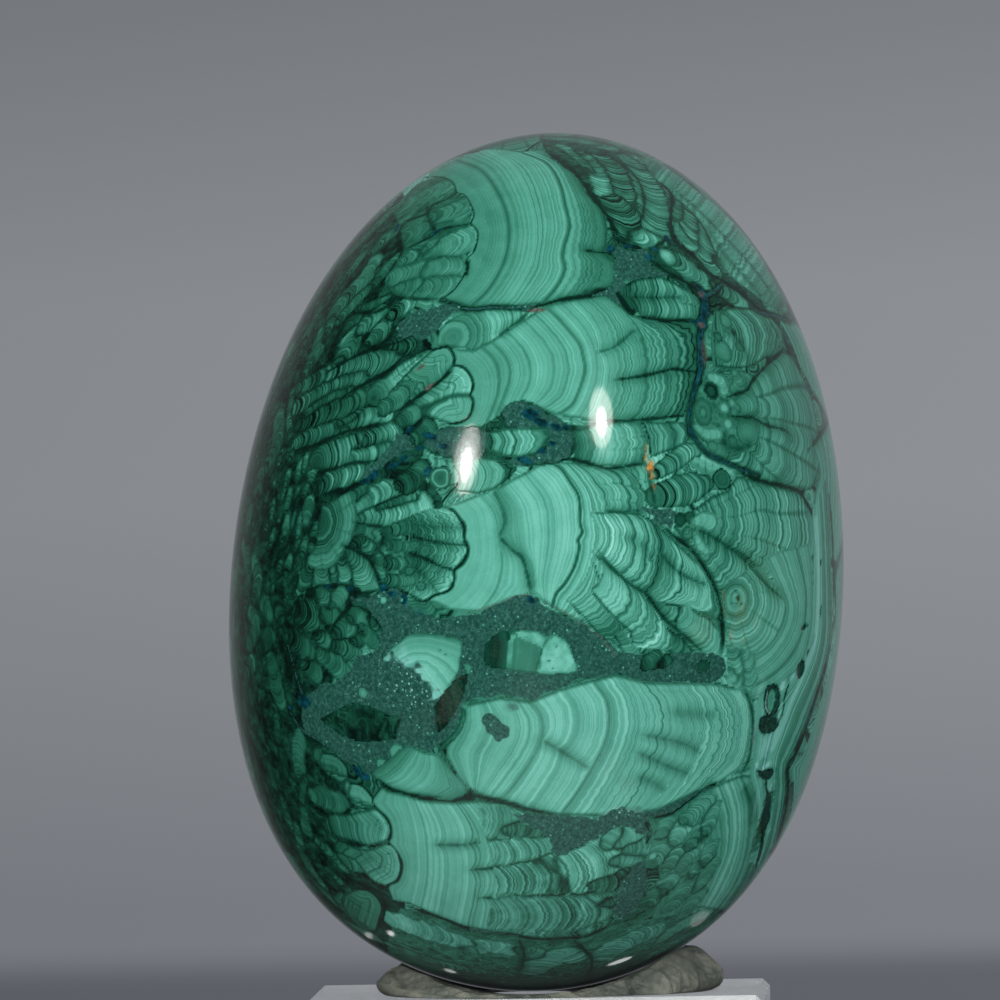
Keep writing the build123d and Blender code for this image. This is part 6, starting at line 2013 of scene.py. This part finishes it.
def putty_material():
    m, n = material("olive_putty")
    where = n.new("ShaderNodeTexCoord").outputs["Object"]
    big = n.noise(180.0, 3.0, 0.55, where)
    fine = n.noise(1500.0, 4.0, 0.65, where)
    tone = n.math("MULTIPLY_ADD", n.math("SUBTRACT", fine, 0.5), 0.55, big)
    # painted shade: darker in the creases
    tone = n.math("MULTIPLY_ADD", n.attr("crease"), -0.10, tone)
    col = n.ramp(tone, [(0.2, linear((54, 59, 54))), (0.42, linear((82, 88, 81))), (0.58, linear((102, 106, 97))), (0.8, linear((134, 132, 119)))])
    fleck = n.new("ShaderNodeTexVoronoi", feature="F1")
    n.link(where, fleck.inputs["Vector"])
    fleck.inputs["Scale"].default_value = 900.0
    spot = n.math("MULTIPLY", n.range(fleck.outputs["Distance"], 0.12, 0.28, 1.0, 0.0), n.range(n.noise(500.0, 1.0, 0.5, where), 0.5, 0.62))
    col = n.mix(n.math("MULTIPLY", spot, 0.7), col, linear((52, 54, 46)))
    bsdf = n.new("ShaderNodeBsdfPrincipled")
    n.link(col, bsdf.inputs["Base Color"])
    n.link(n.range(fine, 0.3, 0.7, 0.52, 0.74), bsdf.inputs["Roughness"])
    bsdf.inputs["Specular IOR Level"].default_value = 0.4
    bump = n.new("ShaderNodeBump")
    bump.inputs["Strength"].default_value = 0.5
    bump.inputs["Distance"].default_value = 0.0003
    n.link(n.noise(2400.0, 4.0, 0.6, where), bump.inputs["Height"])
    n.link(bump.outputs[0], bsdf.inputs["Normal"])
    out = n.new("ShaderNodeOutputMaterial")
    n.link(bsdf.outputs[0], out.inputs[0])
    return m


lump.data.materials.append(putty_material())
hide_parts("mounting_putty")
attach(lump, "stand")
lump.visible_glossy = False


# ---------------------------------------------------------------- clear block
def acrylic_material():
    m, n = material("clear_acrylic_polished")
    where = n.new("ShaderNodeTexCoord").outputs["Object"]
    bsdf = n.new("ShaderNodeBsdfPrincipled")
    haze = n.noise(240.0, 4.0, 0.6, where)
    tint = n.ramp(haze, [(0.3, linear((236, 242, 240))), (0.7, linear((250, 252, 251)))])
    n.link(tint, bsdf.inputs["Base Color"])
    stretch = n.new("ShaderNodeMapping")
    n.link(where, stretch.inputs["Vector"])
    stretch.inputs["Scale"].default_value = (1.0, 14.0, 14.0)
    scratch = n.noise(420.0, 3.0, 0.6, stretch.outputs[0])
    n.link(n.range(scratch, 0.42, 0.70, 0.03, 0.16), bsdf.inputs["Roughness"])
    bsdf.inputs["IOR"].default_value = 1.49
    bsdf.inputs["Transmission Weight"].default_value = 0.72
    bump = n.new("ShaderNodeBump")
    bump.inputs["Strength"].default_value = 0.05
    bump.inputs["Distance"].default_value = 0.0001
    n.link(scratch, bump.inputs["Height"])
    n.link(bump.outputs[0], bsdf.inputs["Normal"])
    out = n.new("ShaderNodeOutputMaterial")
    n.link(bsdf.outputs[0], out.inputs[0])
    return m


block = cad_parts["acrylic_block"]
block.data.materials.clear()
block.data.materials.append(acrylic_material())
block.visible_glossy = False

# ---------------------------------------------------------------- stage
rings = [(0.0, 1), (0.12, 64), (0.30, 64), (0.45, 64), (0.56, 64)]
verts, faces = [(0.0, 0.0, -0.0002)], []
for radius, k in rings[1:]:
    verts += [(radius * math.cos(2 * math.pi * a / k), radius * math.sin(2 * math.pi * a / k), -0.0002) for a in range(k)]
for a in range(64):
    b = (a + 1) % 64
    faces.append((0, 1 + a, 1 + b))
    for ring_no in range(3):
        faces.append((1 + 64 * ring_no + a, 65 + 64 * ring_no + a, 65 + 64 * ring_no + b, 1 + 64 * ring_no + b))
floor = mesh_object("floor", verts, faces)
fm, fn = material("pale_floor")
spot_at = fn.new("ShaderNodeTexCoord").outputs["Object"]
size = fn.new("ShaderNodeVectorMath", operation="LENGTH")
fn.link(spot_at, size.inputs[0])
gone = fn.range(size.outputs["Value"], 0.22, 0.55)
lam = fn.new("ShaderNodeBsdfPrincipled")
fn.link(fn.ramp(fn.noise(60.0, 3.0, 0.5, spot_at), [(0.3, linear((200, 200, 202))), (0.7, linear((204, 204, 206)))]), lam.inputs["Base Color"])
lam.inputs["Roughness"].default_value = 0.7
clear = fn.new("ShaderNodeBsdfTransparent")
both = fn.new("ShaderNodeMixShader")
fn.link(gone, both.inputs[0])
fn.link(lam.outputs[0], both.inputs[1])
fn.link(clear.outputs[0], both.inputs[2])
end = fn.new("ShaderNodeOutputMaterial")
fn.link(both.outputs[0], end.inputs[0])
floor.data.materials.append(fm)
floor.visible_glossy = False

world = bpy.data.worlds.new("studio")
bpy.context.scene.world = world
world.use_nodes = True
wn = Nodes(world.node_tree)
way = wn.new("ShaderNodeTexCoord").outputs["Generated"]
up_part = wn.new("ShaderNodeSeparateXYZ")
wn.link(way, up_part.inputs[0])
# grey backdrop, a little darker towards its foot and its top
wall = wn.ramp(
    wn.range(up_part.outputs["Z"], -0.040, 0.040, 0.0, 1.0, smooth_step=False),
    [
        (0.036, linear((94, 97, 103))),
        (0.043, linear((98, 101, 107))),
        (0.050, linear((107, 110, 116))),
        (0.057, linear((116, 119, 125))),
        (0.066, linear((121, 124, 130))),
        (0.094, linear((121, 124, 130))),
        (0.232, linear((131, 134, 139))),
        (0.370, linear((138, 141, 146))),
        (0.508, linear((137, 140, 145))),
        (0.632, linear((127, 130, 135))),
        (0.715, linear((120, 123, 128))),
    ],
)
across = wn.new("ShaderNodeVectorMath", operation="DOT_PRODUCT")
wn.link(way, across.inputs[0])
across.inputs[1].default_value = tuple(CAM_RIGHT)
evened = wn.new("ShaderNodeVectorMath", operation="SCALE")
wn.link(wall, evened.inputs[0])
wn.link(wn.range(across.outputs["Value"], -0.03, 0.03, 0.94, 1.06, smooth_step=False), evened.inputs["Scale"])
wall = evened.outputs[0]
# the room that the polish mirrors: dark in front, the lit backdrop behind and to the right
lean = wn.new("ShaderNodeVectorMath", operation="DOT_PRODUCT")
wn.link(way, lean.inputs[0])
lean.inputs[1].default_value = (0.20, 0.92, 0.33)
lit = wn.mix(wn.range(up_part.outputs["X"], -0.5, 0.0), linear((108, 110, 112)), linear((135, 138, 143)))
lit = wn.mix(wn.range(up_part.outputs["Z"], -0.30, 0.0), linear((58, 60, 62)), lit)
room = wn.mix(wn.range(lean.outputs["Value"], 0.26, 0.78), linear((34, 33, 32)), lit)
# and the table under it, pale in front of the egg and shaded behind it, which softens the lower half
sink = wn.math("MULTIPLY_ADD", wn.math("ABSOLUTE", up_part.outputs["X"]), -0.7, wn.math("MULTIPLY", up_part.outputs["Z"], -1.0))
top_face = wn.ramp(
    wn.range(up_part.outputs["Y"], 1.0, -0.7, 0.0, 1.0, smooth_step=False),
    [
        (0.0, linear((12, 14, 16))),
        (0.03, linear((26, 28, 29))),
        (0.09, linear((66, 68, 69))),
        (0.32, linear((92, 94, 95))),
        (0.59, linear((128, 130, 131))),
        (1.0, linear((160, 162, 164))),
    ],
)
room = wn.mix(wn.range(sink, 0.03, 0.30), room, top_face)
path = wn.new("ShaderNodeLightPath")
direct = wn.math("MAXIMUM", path.outputs["Is Camera Ray"], path.outputs["Is Transmission Ray"])
back = wn.new("ShaderNodeBackground")
wn.link(wn.mix(direct, room, wall), back.inputs["Color"])
back.inputs["Strength"].default_value = 1.0
wend = wn.new("ShaderNodeOutputWorld")
wn.link(back.outputs[0], wend.inputs[0])


def lamp(name, azimuth, elevation, reach, width, height, power, colour=(1, 1, 1), mirrored=True):
    """Area light that faces the egg's middle; azimuth is from the camera's side, to the right."""
    a, e = math.radians(azimuth) + CAM_AZIMUTH, math.radians(elevation)
    out = Vector((math.sin(a) * math.cos(e), -math.cos(a) * math.cos(e), math.sin(e)))
    data = bpy.data.lights.new(name, "AREA")
    data.shape = "ELLIPSE"
    data.size, data.size_y = width, height
    data.energy = power
    data.color = colour
    ob = bpy.data.objects.new(name, data)
    ob.location = Vector(CENTRE / 1000) + out * reach
    ob.rotation_euler = (-out).to_track_quat("-Z", "Y").to_euler()
    ob.visible_camera = False
    ob.visible_glossy = mirrored
    bpy.context.scene.collection.objects.link(ob)
    return ob


# two soft lamps that the egg mirrors, each with a warm rim and a white core, and fills of the same light that it doesn't
for side, azimuth, elevation in (("left", -30.1, 22.6), ("right", 24.4, 27.4)):
    lamp(side + "_rim", azimuth, elevation, 1.200, 0.185, 0.235, 0.95, (1.0, 0.95, 0.90))
    lamp(side + "_core", azimuth, elevation - 0.9, 1.180, 0.070, 0.105, 0.9, (0.97, 0.98, 1.0))
lamp("left_fill", -34.0, 22.0, 1.3, 0.55, 0.55, 8.4, mirrored=False)
lamp("right_fill", 26.0, 32.0, 1.3, 0.55, 0.55, 8.9, mirrored=False)
lamp("top_fill", 60.0, 75.0, 1.3, 0.9, 0.9, 4.0, mirrored=False)
lamp("low_fill", -8.0, -1.6, 1.3, 0.7, 0.08, 3.0, mirrored=False)
lamp("back_fill", 168.0, 24.0, 1.3, 0.8, 0.6, 9.5, mirrored=False)
lamp("side_fill", -118.0, 26.0, 1.3, 0.6, 0.6, 2.6, mirrored=False)



def glint(x, y, across, along, level, turn=0.0, reach=0.5):
    """Small bright thing that the polish mirrors at an image place; sizes in px on the egg, turn in degrees."""
    ix, iy = project(points)
    hidden = facing(points, normals) < 0.02
    k = int(np.argmin(np.where(hidden, 1e9, (ix - x) ** 2 + (iy - y) ** 2)))
    n, d = normals[k], (points[k] - CAM_PLACE) / np.linalg.norm(points[k] - CAM_PLACE)
    out = Vector(d - 2 * (d @ n) * n)
    data = bpy.data.lights.new("glint", "AREA")
    data.shape = "ELLIPSE"
    scale = MM_PER_PX / 1000 * (reach / 0.017 + 1)
    lean = max(-float(d @ n), 0.08)
    data.size, data.size_y = across * scale * lean, along * scale / lean
    data.energy = level * math.pi * math.pi / 4 * data.size * data.size_y
    ob = bpy.data.objects.new("glint", data)
    ob.location = Vector(points[k] / 1000) + out * reach
    side = Vector(np.cross(d, n))
    ob.rotation_euler = Matrix((side, out.cross(side), out)).transposed().to_euler()
    ob.rotation_euler.rotate_axis("Z", math.radians(turn))
    ob.visible_camera = False
    bpy.context.scene.collection.objects.link(ob)


for x, y, across, along, level, turn in ((391, 933, 8, 5, 4.0, 0), (369, 935, 10, 6, 0.9, 0), (450, 971, 14, 3, 1.2, 0), (620, 961, 30, 3.4, 2.2, 0), (699, 919, 26, 11, 0.42, 0)):
    glint(x, y, across, along, level, turn)

# ---------------------------------------------------------------- camera
eye = bpy.data.cameras.new("camera")
eye.sensor_fit = "HORIZONTAL"
eye.sensor_width = 36.0
eye.lens = 36.0 * FOCAL / 1000
eye.clip_start, eye.clip_end = 0.1, 50.0
cam = bpy.data.objects.new("camera", eye)
bpy.context.scene.collection.objects.link(cam)
cam.matrix_world = Matrix(
    [
        [CAM_RIGHT[k], CAM_UP[k], -CAM_AHEAD[k], CAM_PLACE[k] / 1000]
        for k in range(3)
    ]
    + [[0, 0, 0, 1]]
)
bpy.context.scene.camera = cam
bpy.context.scene.view_settings.view_transform = "Standard"
